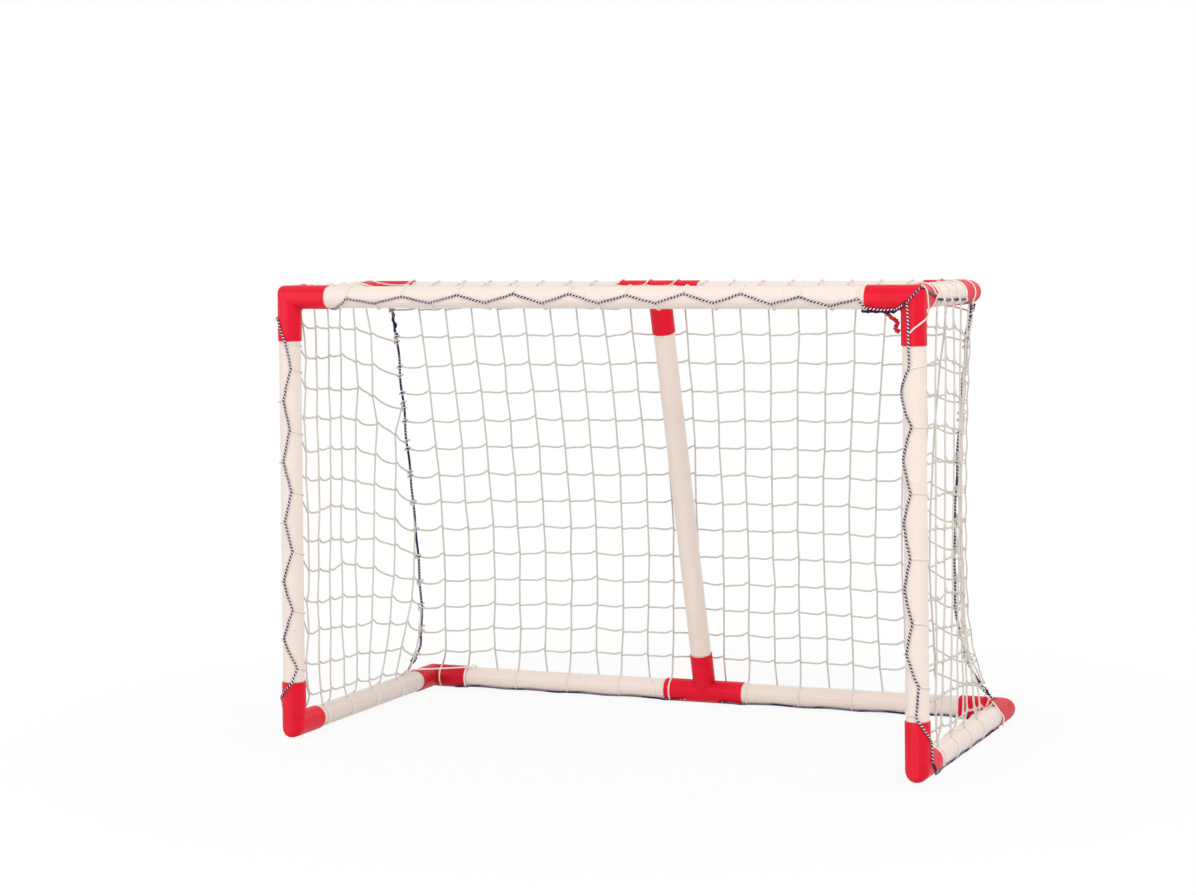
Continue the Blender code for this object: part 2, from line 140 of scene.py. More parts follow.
# %% [markdown]
# ## Nodes that read like maths
# A finish such as worn plastic is a sum of a few patterns. In the node editor each plus and times is a node
# of its own, which hides the formula. A class that wraps a node's output and overloads the operators turns
# `0.3 + 0.1 * grain` into the two Math nodes. It serves shaders, Geometry Nodes and the world.

# %% Wire, Tree and Finish
def operator(operation, flipped=False):
    """A method that adds a Math node, with its two values swapped if it is flipped."""
    return lambda wire, other: wire.tree.maths(operation, *((other, wire) if flipped else (wire, other)))


class Wire:
    """One output of a node. Sums and products on it add Math nodes to its tree."""

    __add__, __radd__ = operator("ADD"), operator("ADD", True)
    __sub__, __rsub__ = operator("SUBTRACT"), operator("SUBTRACT", True)
    __mul__, __rmul__ = operator("MULTIPLY"), operator("MULTIPLY", True)

    def __init__(self, tree, socket):
        self.tree = tree
        self.socket = socket

    def __getitem__(self, output):
        """Another output of the same node."""
        return Wire(self.tree, self.socket.node.outputs[output])

    def __abs__(self):
        return self.tree.maths("ABSOLUTE", self)

    def wave(self):
        """A sine wave that repeats at every whole number."""
        return self.tree.maths("SINE", self * (2 * math.pi))

    def ramp(self, low, high):
        """0 below low, 1 above high, and smooth between them. Low may be the larger."""
        if low > high:
            return 1 - self.ramp(high, low)
        return self.tree.node("ShaderNodeMapRange", {0: self, 1: low, 2: high},
                              interpolation_type="SMOOTHSTEP")


class Tree:
    """A node tree whose nodes are added in the order in which they are written."""

    def __init__(self, tree):
        self.tree = tree

    def node(self, kind, inputs=None, output=0, **settings):
        """Adds one node: its settings first, then values or wires on its sockets."""
        made = self.tree.nodes.new(kind)
        for name, value in settings.items():
            if name == "capture":
                made.capture_items.new("FLOAT", value)
            else:
                setattr(made, name, value)
        self.connect(made, inputs or {})
        return Wire(self, made.outputs[output])

    def connect(self, node, inputs):
        for socket, value in inputs.items():
            if isinstance(value, Wire):
                self.tree.links.new(value.socket, node.inputs[socket])
            else:
                node.inputs[socket].default_value = value

    def maths(self, operation, *values):
        return self.node("ShaderNodeMath", dict(enumerate(values)), operation=operation)


class Finish(Tree):
    """A material. The keyword values go to sockets of its shader."""

    def __init__(self, name, **constants):
        self.material = bpy.data.materials.new(name)
        self.material.use_nodes = True
        super().__init__(self.material.node_tree)
        self.shader = self.tree.nodes["Principled BSDF"]
        self.connect(self.shader, {socket.replace("_", " "): value for socket, value in constants.items()})

    def place(self, scale=(1, 1, 1), turn=(0, 0, 0)):
        """Position in the object's own space, so a pattern stays on the piece from any side."""
        spot = self.node("ShaderNodeTexCoord", output="Object")
        return self.node("ShaderNodeMapping", {0: spot, 2: turn, 3: scale})

    def noise(self, scale, detail, roughness=0.5, place=None):
        return self.node("ShaderNodeTexNoise", {"Vector": place or self.place(), "Scale": scale,
                                                "Detail": detail, "Roughness": roughness})

    def away_from(self, place, letter):
        """Distance from a place on the object's axis with that letter."""
        return abs(self.node("ShaderNodeSeparateXYZ", {0: self.place()}, letter) - place)

    def mix(self, share, first, second):
        """Colour that goes from the first to the second as the share goes from 0 to 1."""
        first, second = (value if isinstance(value, Wire) else (*value, 1) for value in (first, second))
        return self.node("ShaderNodeMix", {0: share, 6: first, 7: second}, 2, data_type="RGBA")

    def surface(self, colour, roughness, height, distance):
        """Feeds the shader, with bumps as high as the distance, and returns the material."""
        bump = self.node("ShaderNodeBump", {"Height": height, "Distance": distance, "Strength": 1.0})
        self.connect(self.shader, {"Base Color": colour, "Roughness": roughness, "Normal": bump})
        return self.material


def refinish(nodes, finish_of):
    for name in nodes:
        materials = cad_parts[name].data.materials
        materials.clear()
        materials.append(finish_of(name))
    print(len(nodes), "nodes finished, from", nodes[0], "to", nodes[-1])


print("finishes can now be written as formulas")

# %% [markdown]
# ## White tubes
# The tubes are extruded plastic pipe in a warm white. Extrusion leaves faint lines along the pipe and small
# shifts of shade, and use leaves scuffs, mostly where a tube goes into a fitting. One material can't know
# where a pipe ends, so one function measures each tube and writes it a material of its own.

# %% Finish of the tubes
WARM_WHITE = (0.90, 0.775, 0.70)
YELLOWED = (0.85, 0.715, 0.61)
SCUFF_GREY = (0.52, 0.47, 0.43)
# Painted shade: a grey that is mixed into the tubes listed below to darken them.
TUBE_SHADE_GREY = (0.55, 0.51, 0.485)
SHADED_TUBES = {"base_side_tube_left": 0.22}


def tube_finish(node):
    """Extruded white plastic with lines along the tube and scuffs beside its fittings."""
    low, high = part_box(node)
    size = high - low
    long_axis = max(range(3), key=lambda axis: size[axis])
    letter = "XYZ"[long_axis]
    turn = (math.atan2(BRACE.y, -BRACE.z), 0, 0) if node == "brace_tube" else (0, 0, 0)
    finish = Finish(node + "_plastic", IOR=1.49, Specular_IOR_Level=0.4)

    def stretched(across, along):
        return finish.place([along if axis == letter else across for axis in "XYZ"], turn)

    lines = finish.noise(60.0, 2.0, place=stretched(14.0, 0.35))
    marks = finish.noise(4.0, 4.0, 0.6, stretched(9, 55))
    patches = finish.noise(7.0, 3.0)

    along = finish.away_from(middle(node)[long_axis], letter)
    mouth = size[long_axis] / 2 - (FITTING_REACH - SOCKET_STOP)
    rim = along.ramp(mouth - 0.0018, mouth - 0.0002)
    scuffs = marks.ramp(0.60, 0.72) * (0.16 + 0.5 * along.ramp(mouth - 0.05, mouth))

    colour = finish.mix(patches.ramp(0.35, 0.75) * 0.35, WARM_WHITE, YELLOWED)
    colour = finish.mix(scuffs, colour, SCUFF_GREY)
    colour = finish.mix(rim * 0.55, colour, SCUFF_GREY)
    # Painted shade: the listed tubes are greyed, unevenly, to darken them.
    if node in SHADED_TUBES:
        colour = finish.mix(SHADED_TUBES[node] + 0.2 * patches, colour, TUBE_SHADE_GREY)
    height = lines * 0.4 + patches * 0.6 - scuffs * 0.3
    return finish.surface(colour, 0.30 + 0.12 * lines + 0.22 * scuffs, height, 0.00012)


refinish([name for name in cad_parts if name.endswith("_tube") or "_tube_" in name], tube_finish)

# %% [markdown]
# ## Red fittings
# The corners and tees are injection moulded. Their red is deep and glossy, with a fine line where the
# halves of the mould met, an edge at each mouth lightened partly by rubbing and partly as a painted
# highlight, and faint clouding. The mould line lies in the plane of a fitting's legs, so its place is
# known, and a thin bump there is enough.

# %% Finish of the fittings
MOULD_RED = (0.80, 0.0012, 0.024)
DEEP_RED = (0.60, 0.0008, 0.015)
# Lighter red for the mouth edges: partly rubbed plastic, partly a painted highlight.
RUBBED_AND_HIGHLIT_RED = (0.88, 0.03, 0.05)
# Painted shade: a dark red that is mixed into the fittings listed below.
FITTING_SHADE_RED = (0.33, 0.004, 0.012)
SHADED_FITTINGS = {"elbow_rear_base_left": 0.30, "elbow_rear_base_right": 0.12}


def mould_plane(node):
    """The letter of the axis that the mould line's plane is square to, and the plane's place on it."""
    if node.startswith("elbow_front"):
        return "X", math.copysign(HALF_WIDTH, middle(node).x)
    if node.startswith("elbow_rear"):
        return "Z", BAR_Z if "top" in node else BASE_Z
    if node.startswith("tee"):
        return "Y", TOP_Y if "top" in node else REAR_Y
    return "Y", FRONT_Y


def fitting_finish(node):
    """Glossy moulded red with a mould line, and mouth edges lightened partly by rubbing, partly as a painted
    highlight.
    """
    letter, plane = mould_plane(node)
    low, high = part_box(node)
    finish = Finish(node + "_plastic", IOR=1.5, Specular_IOR_Level=0.22)
    clouds = finish.noise(38.0, 3.0)
    grain = finish.noise(900.0, 2.0)
    scratches = finish.noise(5.0, 3.0, 0.65, finish.place((30, 260, 30)))
    seam = finish.away_from(plane, letter).ramp(0.0005, 0.0001)

    mouths = []
    for k, name in enumerate("XYZ"):
        half = (high - low)[k] / 2
        if half > 1.1 * FITTING_RADIUS:
            mouths.append(finish.away_from(middle(node)[k], name).ramp(half - 0.0016, half - 0.0004))
    rubbed_and_highlit = finish.maths("MINIMUM", sum(mouths), 1.0)

    colour = finish.mix(clouds.ramp(0.42, 0.78) * 0.45, MOULD_RED, DEEP_RED)
    # Mouth edges lightened: partly rubbing, partly a painted highlight.
    colour = finish.mix(rubbed_and_highlit * 0.35, colour, RUBBED_AND_HIGHLIT_RED)
    # Painted shade: the listed fittings are darkened, unevenly.
    if node in SHADED_FITTINGS:
        colour = finish.mix(SHADED_FITTINGS[node] + 0.2 * clouds, colour, FITTING_SHADE_RED)
    roughness = 0.36 + 0.16 * clouds + 0.16 * scratches.ramp(0.55, 0.7)
    return finish.surface(colour, roughness, grain * 0.25 + clouds * 0.5 + seam * 0.8, 0.00015)


refinish([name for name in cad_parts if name.startswith(("corner_front", "elbow", "tee"))],
         fitting_finish)

# %% [markdown]
# ## Finishes of the cords
# A cord's pattern must follow it round every bend, so it can't be laid out in space. The tree that thickens
# a cord, further down, gives it a UV map: U goes once round the cord, and V is the distance along it in
# metres. Net twine is then white yarn with a soft twist, and the border cord a braid of navy and white: one
# family of yarns climbs to the left and one to the right, and where they cross, either may be on top.

# %% Finishes of the twine, the braid and the tie
PLIES_PER_METRE = 260
YARNS_PER_METRE = 195
TIE_TWISTS_PER_METRE = 200


def cord_coordinates(finish):
    """How far round the cord, and how far along it in metres."""
    uv = finish.node("ShaderNodeUVMap", uv_map="UVMap")
    around = finish.node("ShaderNodeSeparateXYZ", {0: uv})
    return around, around["Y"]


def twine_finish(name, shaded, lit):
    """Soft white yarn of three plies, with a little floor dust in it."""
    finish = Finish(name, Specular_IOR_Level=0.25)
    around, along = cord_coordinates(finish)
    ply_and_groove_shade = (around * 3 + along * PLIES_PER_METRE).wave() * 0.5 + 0.5
    fuzz = finish.noise(1400.0, 2.0)
    dirt = finish.noise(9.0, 3.0)
    colour = finish.mix(dirt.ramp(0.45, 0.8) * 0.25, finish.mix(ply_and_groove_shade, shaded, lit), shaded)
    return finish.surface(colour, 0.8 + 0.15 * fuzz, ply_and_groove_shade * 0.8 + fuzz * 0.4, 0.0002)


def braid_finish(name, white_share, patchy=0.35):
    """Braid of navy and white yarns: how much of it is white, and how unevenly the white comes up."""
    finish = Finish(name, Specular_IOR_Level=0.25)
    around, along = cord_coordinates(finish)
    right = (around + along * YARNS_PER_METRE).wave()
    left = (around * 2 - along * (2 * YARNS_PER_METRE)).wave()
    stretch = finish.noise(23.0, 2.0)
    flecks = right * 0.5 + 0.5 - patchy * (1 - stretch.ramp(0.36, 0.52))
    white = flecks.ramp(0.95 - white_share, 1.05 - white_share)
    weave_and_groove_shade = finish.maths("MAXIMUM", right, left) * 0.5 + 0.5
    fuzz = finish.noise(1500.0, 2.0)
    # Painted shade: the navy is darker in the grooves between the yarns and lighter on their crests.
    navy = finish.mix(weave_and_groove_shade, (0.007, 0.004, 0.024), (0.045, 0.024, 0.120))
    colour = finish.mix(white, navy, (0.80, 0.73, 0.74))
    return finish.surface(colour, 0.7 + 0.25 * fuzz, weave_and_groove_shade * 0.9 + fuzz * 0.3, 0.0004)


def tie_finish():
    finish = Finish("red_tie")
    around, along = cord_coordinates(finish)
    ply_and_groove_shade = (around * 2 + along * TIE_TWISTS_PER_METRE).wave() * 0.5 + 0.5
    # Painted shade: the red is darker in the grooves of the twist and brighter on its crests.
    colour = finish.mix(ply_and_groove_shade, (0.42, 0.001, 0.008), (0.80, 0.004, 0.022))
    return finish.surface(colour, 0.4 + 0.2 * ply_and_groove_shade, ply_and_groove_shade, 0.0005)


TWINE = twine_finish("net_twine", (0.58, 0.54, 0.47), (0.82, 0.78, 0.71))
# Painted light: a lighter copy of the net twine, for twine that is wound on the bars and carried over the
# fittings.
WOUND_TWINE_PAINTED_LIGHT = twine_finish("wound_twine", (0.86, 0.77, 0.70), (0.97, 0.90, 0.84))
BORDER_BRAID = braid_finish("border_braid", 0.40, 0.16)
ROPE_BRAID = braid_finish("rope_braid", 0.12)
FLECKED_BRAID = braid_finish("flecked_braid", 0.24)
PLAIN_BRAID = braid_finish("plain_braid", -0.10)
RED_TIE = tie_finish()
print("cord finishes:", TWINE.name, BORDER_BRAID.name, ROPE_BRAID.name, RED_TIE.name)

# %% [markdown]
# ## A Geometry Nodes tree that thickens cords
# Hundreds of strands need the same treatment: a smooth curve through their points, a round section, a UV
# map, closed tips. A node tree does it to all splines of a curve at once. The section is an arc that is a
# full circle but isn't joined, so U runs cleanly from 0 to 1. Merging by distance then closes the tube, and
# the tips too, where a cord's radius is nothing.

# %% The cord tree
class Recipe(Tree):
    """A Geometry Nodes tree with named inputs. It ends in Realize Instances and Set Material."""

    def __init__(self, name, **inputs):
        super().__init__(bpy.data.node_groups.new(name, "GeometryNodeTree"))
        new_socket = self.tree.interface.new_socket
        for socket, kind in {"Geometry": "Geometry", **inputs, "Material": "Material"}.items():
            new_socket(socket, in_out="INPUT", socket_type="NodeSocket" + kind)
        new_socket("Geometry", in_out="OUTPUT", socket_type="NodeSocketGeometry")
        self.start = self.node("NodeGroupInput")

    def with_uv(self, mesh, uv):
        return self.node("GeometryNodeStoreNamedAttribute", {"Geometry": mesh, "Name": "UVMap", "Value": uv},
                         data_type="FLOAT2", domain="CORNER")

    def end(self, geometry):
        smooth = self.node("GeometryNodeSetShadeSmooth", {"Geometry": geometry})
        real = self.node("GeometryNodeRealizeInstances", {"Geometry": smooth})
        painted = self.node("GeometryNodeSetMaterial", {"Geometry": real, "Material": self.start["Material"]})
        self.connect(self.tree.nodes.new("NodeGroupOutput"), {"Geometry": painted})
        return self

    def run(self, name, data, **values):
        """Runs the tree on curve or mesh data and returns the result as a plain mesh object."""
        source = show(name + "_source", data)
        modifier = source.modifiers.new("nodes", "NODES")
        modifier.node_group = self.tree
        for item in self.tree.interface.items_tree:
            if item.in_out == "INPUT" and item.name in values:
                modifier[item.identifier] = values[item.name]
        bpy.context.view_layer.update()
        evaluated = source.evaluated_get(bpy.context.evaluated_depsgraph_get())
        mesh = bpy.data.meshes.new_from_object(evaluated)
        mesh.name = name
        source.modifiers.remove(modifier)
        bpy.data.objects.remove(source)
        return show(name, mesh)


def cord_tree():
    tree = Recipe("cord", Radius="Float", Sides="Int", Steps="Int")
    rounded = tree.node("GeometryNodeCurveSplineType", {"Curve": tree.start}, spline_type="CATMULL_ROM")
    finer = tree.node("GeometryNodeSetSplineResolution",
                      {"Geometry": rounded, "Resolution": tree.start["Steps"]})
    length = tree.node("GeometryNodeSplineParameter", output="Length")
    spine = tree.node("GeometryNodeCaptureAttribute", {0: finer, 1: length}, capture="Along")
    arc = tree.node("GeometryNodeCurveArc", {
        "Resolution": tree.start["Sides"] + 1, "Radius": tree.start["Radius"], "Start Angle": 0,
        "Sweep Angle": 2 * math.pi})
    share = tree.node("GeometryNodeSplineParameter", output="Factor")
    section = tree.node("GeometryNodeCaptureAttribute", {0: arc, 1: share}, capture="Around")
    skin = tree.node("GeometryNodeCurveToMesh", {"Curve": spine, "Profile Curve": section})
    uv = tree.node("ShaderNodeCombineXYZ", {"X": section[1], "Y": spine[1]})
    return tree.end(tree.node("GeometryNodeMergeByDistance",
                              {"Geometry": tree.with_uv(skin, uv), "Distance": 2e-6}))


CORD_TREE = cord_tree()
TIP = 0.0004
SLOTS = {"net_twine": "net_cord", "wound_twine": "net_cord", "red_tie": "red_cord"}
SECTION_SIDES = {"net_cord": 7, "navy_cord": 10, "red_cord": 8}


def keep(piece, node):
    """Puts a visual piece in the place of a CAD node."""
    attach(piece, "root")
    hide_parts(node)


def length_of(path):
    path = np.array([tuple(point[:3]) for point in path])
    return float(np.linalg.norm(np.diff(path, axis=0), axis=1).sum())


def cords(node, name, paths, radius, material, steps=2):
    """One mesh of round cords with closed tips, in the place of a CAD node.

    A point may have a fourth number, the share of the full thickness that the cord has there."""
    curve = bpy.data.curves.new(name + "_paths", "CURVE")
    curve.dimensions = "3D"
    for path in paths:
        shares = [point[3] if len(point) > 3 else 1.0 for point in path]
        path = [Vector(point[:3]) for point in path]
        path.insert(1, path[0] + (path[1] - path[0]).normalized() * TIP)
        path.insert(-1, path[-1] + (path[-2] - path[-1]).normalized() * TIP)
        spline = curve.splines.new("POLY")
        spline.points.add(len(path) - 1)
        for spot, point, share in zip(spline.points, path, [0, *shares, 0]):
            spot.co = (*point, 1)
            spot.radius = share
    slot = SLOTS.get(material.name, "navy_cord")
    made = CORD_TREE.run(name, curve, Radius=radius, Sides=SECTION_SIDES[slot], Steps=steps,
                         Material=material)
    bpy.data.curves.remove(curve)
    keep(made, node)
    print("%-24s %5d cords, %7.2f m, %6d faces" % (
        name, len(paths), sum(length_of(path) for path in paths), len(made.data.polygons)))


print("a cord's section has", SECTION_SIDES, "sides")

# %% [markdown]
# ## The net as a web
# The net is one white cloth of square meshes, about 47 mm a side. It is laced to the crossbar, the posts
# and the base, lies over the rear top bar, and is drawn in at the two rear corners by navy ropes. Every
# knot is put roughly where the real one is, and then the web is let go: strands can't stretch, gravity
# pulls, and tubes are solid. Many small steps settle it, which gives each mesh its own slight sag.

# %% The web and its measures
STRAND = 0.0014
PRESSED = 0.52
CLEAR = 0.0002
BORDER_RADIUS = 0.0015
LINKS = 4
TAUT, SLACK = 1.001, 1.006
random = np.random.default_rng(7)


class Web:
    """Points that are held or free, joined in chains that can't stretch."""

    def __init__(self):
        self.places, self.held, self.links = [], [], []
        self.upright, self.pressed = {}, set()

    def point(self, place, held=False):
        self.places.append(Vector(place))
        self.held.append(held)
        return len(self.places) - 1

    def hold(self, places):
        """Held points of twine that is wound on a bar, which presses it thin."""
        made = [self.point(place, True) for place in places]
        self.pressed.update(made)
        return made

    def run(self, knots, slack):
        """A chain through a list of knots, with new free points between them."""
        path = [knots[0]]
        for start, end in zip(knots, knots[1:]):
            first, last = self.places[start], self.places[end]
            length = (last - first).length * slack * (1 + 0.004 * random.standard_normal())
            inner = [self.point(first.lerp(last, step / LINKS)) for step in range(1, LINKS)]
            chain = [start, *inner, end]
            self.links += [(a, b, length / LINKS) for a, b in zip(chain, chain[1:])]
            path += chain[1:]
        return path

    def mark_uprights(self, path):
        """Remembers which way the strand runs through each of its points."""
        for before, here, after in zip(path, path[1:], path[2:]):
            self.upright[here] = (before, after)


web = Web()
PANELS = ("top", "back", "left", "right")
paths = {(panel, kind): [] for panel in PANELS for kind in ("column", "row")}


def strand(panel, kind, start, inner, end, slack=TAUT):
    """A strand of a panel, from its first held points through free knots to its last points."""
    path = web.run([start[-1], *inner, end[0]], slack)
    if kind == "column":
        web.mark_uprights(path)
    paths[panel, kind].append(start[:-1] + path + end[1:])
    return path


print("twine of %.1f mm, pressed to %.1f mm on the bars" % (STRAND * 2000, STRAND * PRESSED * 2000))

# %% Bars
ON_TUBE = TUBE_RADIUS + STRAND * PRESSED + CLEAR
ON_FITTING = FITTING_RADIUS + STRAND * PRESSED + CLEAR
RIMS = ((0, FITTING_RADIUS), (FITTING_REACH + 0.002, FITTING_RADIUS), (FITTING_REACH + 0.009, TUBE_RADIUS),
        (1, TUBE_RADIUS))
WIND_STEP = 12
CLIMB_ANGLES = (-9, -4, 0, 4, 9)
CLIMB_REACH = 8.5


class Bar:
    """A bar between fittings. A spot on it is a place along it and an angle: 0 is front, 90 is side."""

    def __init__(self, axis, ends, front, side):
        self.axis, self.ends, self.front, self.side = axis, ends, front, side

    def gap(self, place):
        """Distance from the nearest corner of the frame."""
        return min(abs(place - end) for end in self.ends)

    def spot(self, place, angle, high):
        turn = math.radians(angle)
        return self.axis(place) + (self.front * math.cos(turn) + self.side * math.sin(turn)) * high

    def cord_spot(self, place, angle):
        """Middle of a border cord, which climbs onto the rim of a fitting."""
        return self.spot(place, angle, BORDER_RADIUS + CLEAR + between(RIMS, self.gap(place)))

    def strand_height(self, place):
        return ON_FITTING if self.gap(place) < FITTING_REACH + 0.001 else ON_TUBE

    def wound(self, place, start, stop, drift=Vector(), over=None):
        """Points of twine that winds from one angle to another, over a cord if its angle is given."""
        high = self.strand_height(place)
        count = max(2, int(abs(stop - start) / WIND_STEP) + 1)
        angles = [start + (stop - start) * step / count for step in range(count + 1)]
        if over is not None:
            way = math.copysign(1, stop - start)
            angles = [angle for angle in angles if abs(angle - over) > WIND_STEP]
            angles = sorted(angles + [over + climb for climb in CLIMB_ANGLES], key=lambda angle: way * angle)
        places = []
        for angle in angles:
            climb = 0.0
            if over is not None:
                climb = 2 * BORDER_RADIUS * max(0.0, 1 - (abs(angle - over) / CLIMB_REACH) ** 2)
            share = (angle - start) / (stop - start)
            places.append(self.spot(place, angle, high + climb) + drift * share)
        return places


def side_bars(side):
    """Post, top bar and base bar of a side. A place on the last two is a depth behind the crossbar."""
    x = side * HALF_WIDTH
    return (Bar(lambda z: Vector((x, FRONT_Y, z)), (BASE_Z, BAR_Z), -Y, -X * side),
            Bar(lambda depth: Vector((x, FRONT_Y + depth, BAR_Z)), (0, TOP_DEPTH), X * side, Z),
            Bar(lambda depth: Vector((x, FRONT_Y + depth, BASE_Z)), (0, BASE_DEPTH), X * side, Z))


SIDE_BARS = {side: side_bars(side) for side in SIDE_NAMES}
CROSSBAR = Bar(lambda x: Vector((x, FRONT_Y, BAR_Z)), (-HALF_WIDTH, HALF_WIDTH), -Y, Z)
REAR_TOP = Bar(lambda x: Vector((x, TOP_Y, BAR_Z)), (-HALF_WIDTH, 0, HALF_WIDTH), Y, Z)
REAR_BASE = Bar(lambda x: Vector((x, REAR_Y, BASE_Z)), (-HALF_WIDTH, 0, HALF_WIDTH), -Y, Z)
print("twine on a tube is %.1f mm from its axis" % (ON_TUBE * 1000))

# %% [markdown]
# ## Where the net is laced
# A navy border cord zigzags along the front of the crossbar and the posts. At each of its turns a net
# strand goes once round the bar and back into the net: over the top at the upper turns and underneath at
# the lower ones. So the turns are also where the net's columns and rows begin.

# %% Turns of the border cord
BAR_TURNS = range(-1, 19)
POST_TURNS = range(13)
BESIDE = 6
BAR_PEAKS = (-6, 4, 12, 18, 17, 12, 18, 18, 4, -5)
BAR_VALLEYS = (-29, -26, -25, -26, -26, -26, -24, -30, -40, -80)
POST_ANGLES = {-1: (-35, 8, 31, -8, 22, -13, 27, -8, 29, -20, 26, -24, 45),
               1: (8, 9, 72, -1, 50, 6, 49, 11, 48, 4, 37, -22, -11)}
SIDE_ROW = 0.0476


def bar_turn(j):
    """Place along the crossbar and angle above the level of turn j: even turns are the upper ones."""
    if j < 0:
        return -0.408, -62
    return -0.3865 + 0.0467 * j - 0.00011 * j * j, (BAR_PEAKS, BAR_VALLEYS)[j % 2][j // 2]


def post_turn(side, k):
    """Height on a post and angle from the front toward the inside of turn k."""
    angle = POST_ANGLES[side][k]
    if k < 2:
        return 0.640 - (0.035 if side < 0 else 0.063) * k, angle
    j = k - 2
    if side < 0:
        return 0.566 - 0.0478 * j + 0.0002 * j * j, angle
    return 0.543 - 0.0466 * j + 0.00015 * j * j, angle


def knot_height(k):
    """Height of side row k behind the post. It hangs lower than its turn, most of all near the floor."""
    return 0.632 - SIDE_ROW * k


def seam_depth(k):
    """Depth at which strand k crosses a top side tube."""
    return 0.046 + 0.044 * (k - 1)


print("crossbar turns:", len(BAR_TURNS), " post turns:", len(POST_TURNS))

# %% [markdown]
# ## The corner ropes
# A thicker navy rope runs from each rear top elbow to the base beside the rear elbow. It is laced through
# the edges of the back and the side, so the net pulls it inward and forward. It takes the route of the CAD
# model's solid rope.

# %% Routes of the corner ropes
ROPE_STANDING = FITTING_RADIUS + 0.0003 + 0.0018
ROPE_LANDING = 0.054
ROPE_PULL = ((0, 0, 0), (0.10, 13, 4), (0.25, 24, 13), (0.45, 34, 27), (0.65, 40, 39), (0.78, 40, 43),
             (0.88, 31, 35), (0.95, 16, 18), (1, 0, 0))


def rope_point(side, share, tight=1.0):
    """Point of a corner rope at a share of its drop; a slacker cord is drawn in less."""
    top = Vector((side * (HALF_WIDTH + 0.004), TOP_Y + ROPE_STANDING, BAR_Z))
    bottom = Vector((side * HALF_WIDTH, REAR_Y - ROPE_LANDING, BASE_Z + ROPE_STANDING))
    shares = [row[0] for row in ROPE_PULL]
    step = max(k for k in range(len(shares) - 1) if shares[k] <= share or k == 0)
    inside = (share - shares[step]) / (shares[step + 1] - shares[step])
    pulls = [Vector((-side * inward, -forward, 0)) * tight / 1000 for _, inward, forward in ROPE_PULL]
    place = top.lerp(bottom, share) + smooth_through(pulls, step + inside)
    if side < 0 and share < 0.45:
        place.x += 0.014 * (1 - share / 0.45) ** 2
    if side < 0 and share > 0.93:
        place.y -= 0.040 * (share - 0.93) / 0.07
    return place


def rope_at(side, height, tight=1.0):
    """Point of a corner rope at a height above the floor."""
    top, bottom = rope_point(side, 0).z, rope_point(side, 1).z
    return rope_point(side, min(max((top - height) / (top - bottom), 0.0), 1.0), tight)


print("rope drop: %.3f m" % (rope_point(1, 0) - rope_point(1, 1)).length)

# %% [markdown]
# ## Top and back
# Columns run from the crossbar over the rear top bar and down the back to the base. They lean to the left
# on their way down, as the real net was laced a little askew. The lean is kept: a perfectly square net is
# the first thing that gives a computer model away.

# %% Knots of the top and of the back
COLUMNS = range(1, 21)
TOP_ROWS = range(1, 7)
BACK_ROWS = range(1, 15)
CREST_ANGLE = 43
SEAM = ((-0.016, 48), (0.006, 30), (0.046, 3), (0.063, -12), (0.100, -21), (0.176, -26), (0.223, -30),
        (0.250, -48))
LEFT_DRIFT = ((0, -0.004), (0.1, -0.004), (0.3, -0.003), (0.5, 0.004), (0.7, 0.015), (0.9, 0.037), (1, 0.038))
RIGHT_DRIFT = ((0, -0.008), (0.1, 0.002), (0.3, 0.025), (0.5, 0.043), (0.7, 0.053), (0.9, 0.0595), (1, 0.060))
BACK_NORMAL = Vector((0, -BRACE.z, BRACE.y)).normalized()
SLOPE = (Vector((0, REAR_Y, BASE_Z)) - Vector((0, TOP_Y, BAR_Z))).length


def column_x(i, s):
    """Place across the goal of back column i, at a share s of the way down the back."""
    rightness = min(max((i - 8.5) / 9.5, 0.0), 1.1)
    drift = between(LEFT_DRIFT, s) * (1 - rightness) + between(RIGHT_DRIFT, s) * rightness
    return -0.435 + 0.0466 * (i - 1) - drift


def row_slope(i, r):
    """Distance of back row r from the rear top bar, down the slope at column i."""
    bunched = 0.0008 * max(r - 11, 0) ** 2
    return 0.0745 + 0.0479 * (r - 2) - 0.0001 * (r - 2) ** 2 - bunched - 0.00055 * (i - 9)


def back_place(i, r):
    """Knot of column i and row r: behind the brace, and drawn forward toward the ropes.

    Columns were read off the photo as if the net were flat, so a knot that is drawn forward moves along the
    line of sight."""
    slope = row_slope(i, r)
    flat = Vector((0, TOP_Y, BAR_Z)) + BRACE * slope + BACK_NORMAL * ON_FITTING
    flat.x = column_x(i, slope / SLOPE)
    edge = rope_at(1 if flat.x > 0 else -1, flat.z - 0.006)
    pull = 0.6 * min(1.0, abs(flat.x / edge.x)) ** 4
    forward = (flat.y - edge.y) * pull
    sight = (camera.location.x - flat.x) / (flat.y - camera.location.y)
    return Vector((flat.x + forward * sight, flat.y - forward, flat.z - 0.006 * pull))


def top_place(i, k):
    """Knot of column i and row k of the top panel."""
    turn_x = bar_turn(i - 2)[0]
    near_side = min(1.0, abs(turn_x) / HALF_WIDTH) ** 4
    depth = (0.024 + 0.0475 * (k - 1)) * (1 - near_side) + seam_depth(k) * near_side
    across = turn_x + (column_x(i, 0) - turn_x) * depth / TOP_DEPTH
    share = depth / TOP_DEPTH
    rise = 0.017 * share - 0.022 * math.sin(math.pi * share)
    return Vector((across, FRONT_Y + depth, BAR_Z + rise))


def knot_by_hand(place, uneven):
    """A free point near the place, as hands would hit it."""
    return web.point(place + Vector(random.normal(0.0, uneven, 3)))


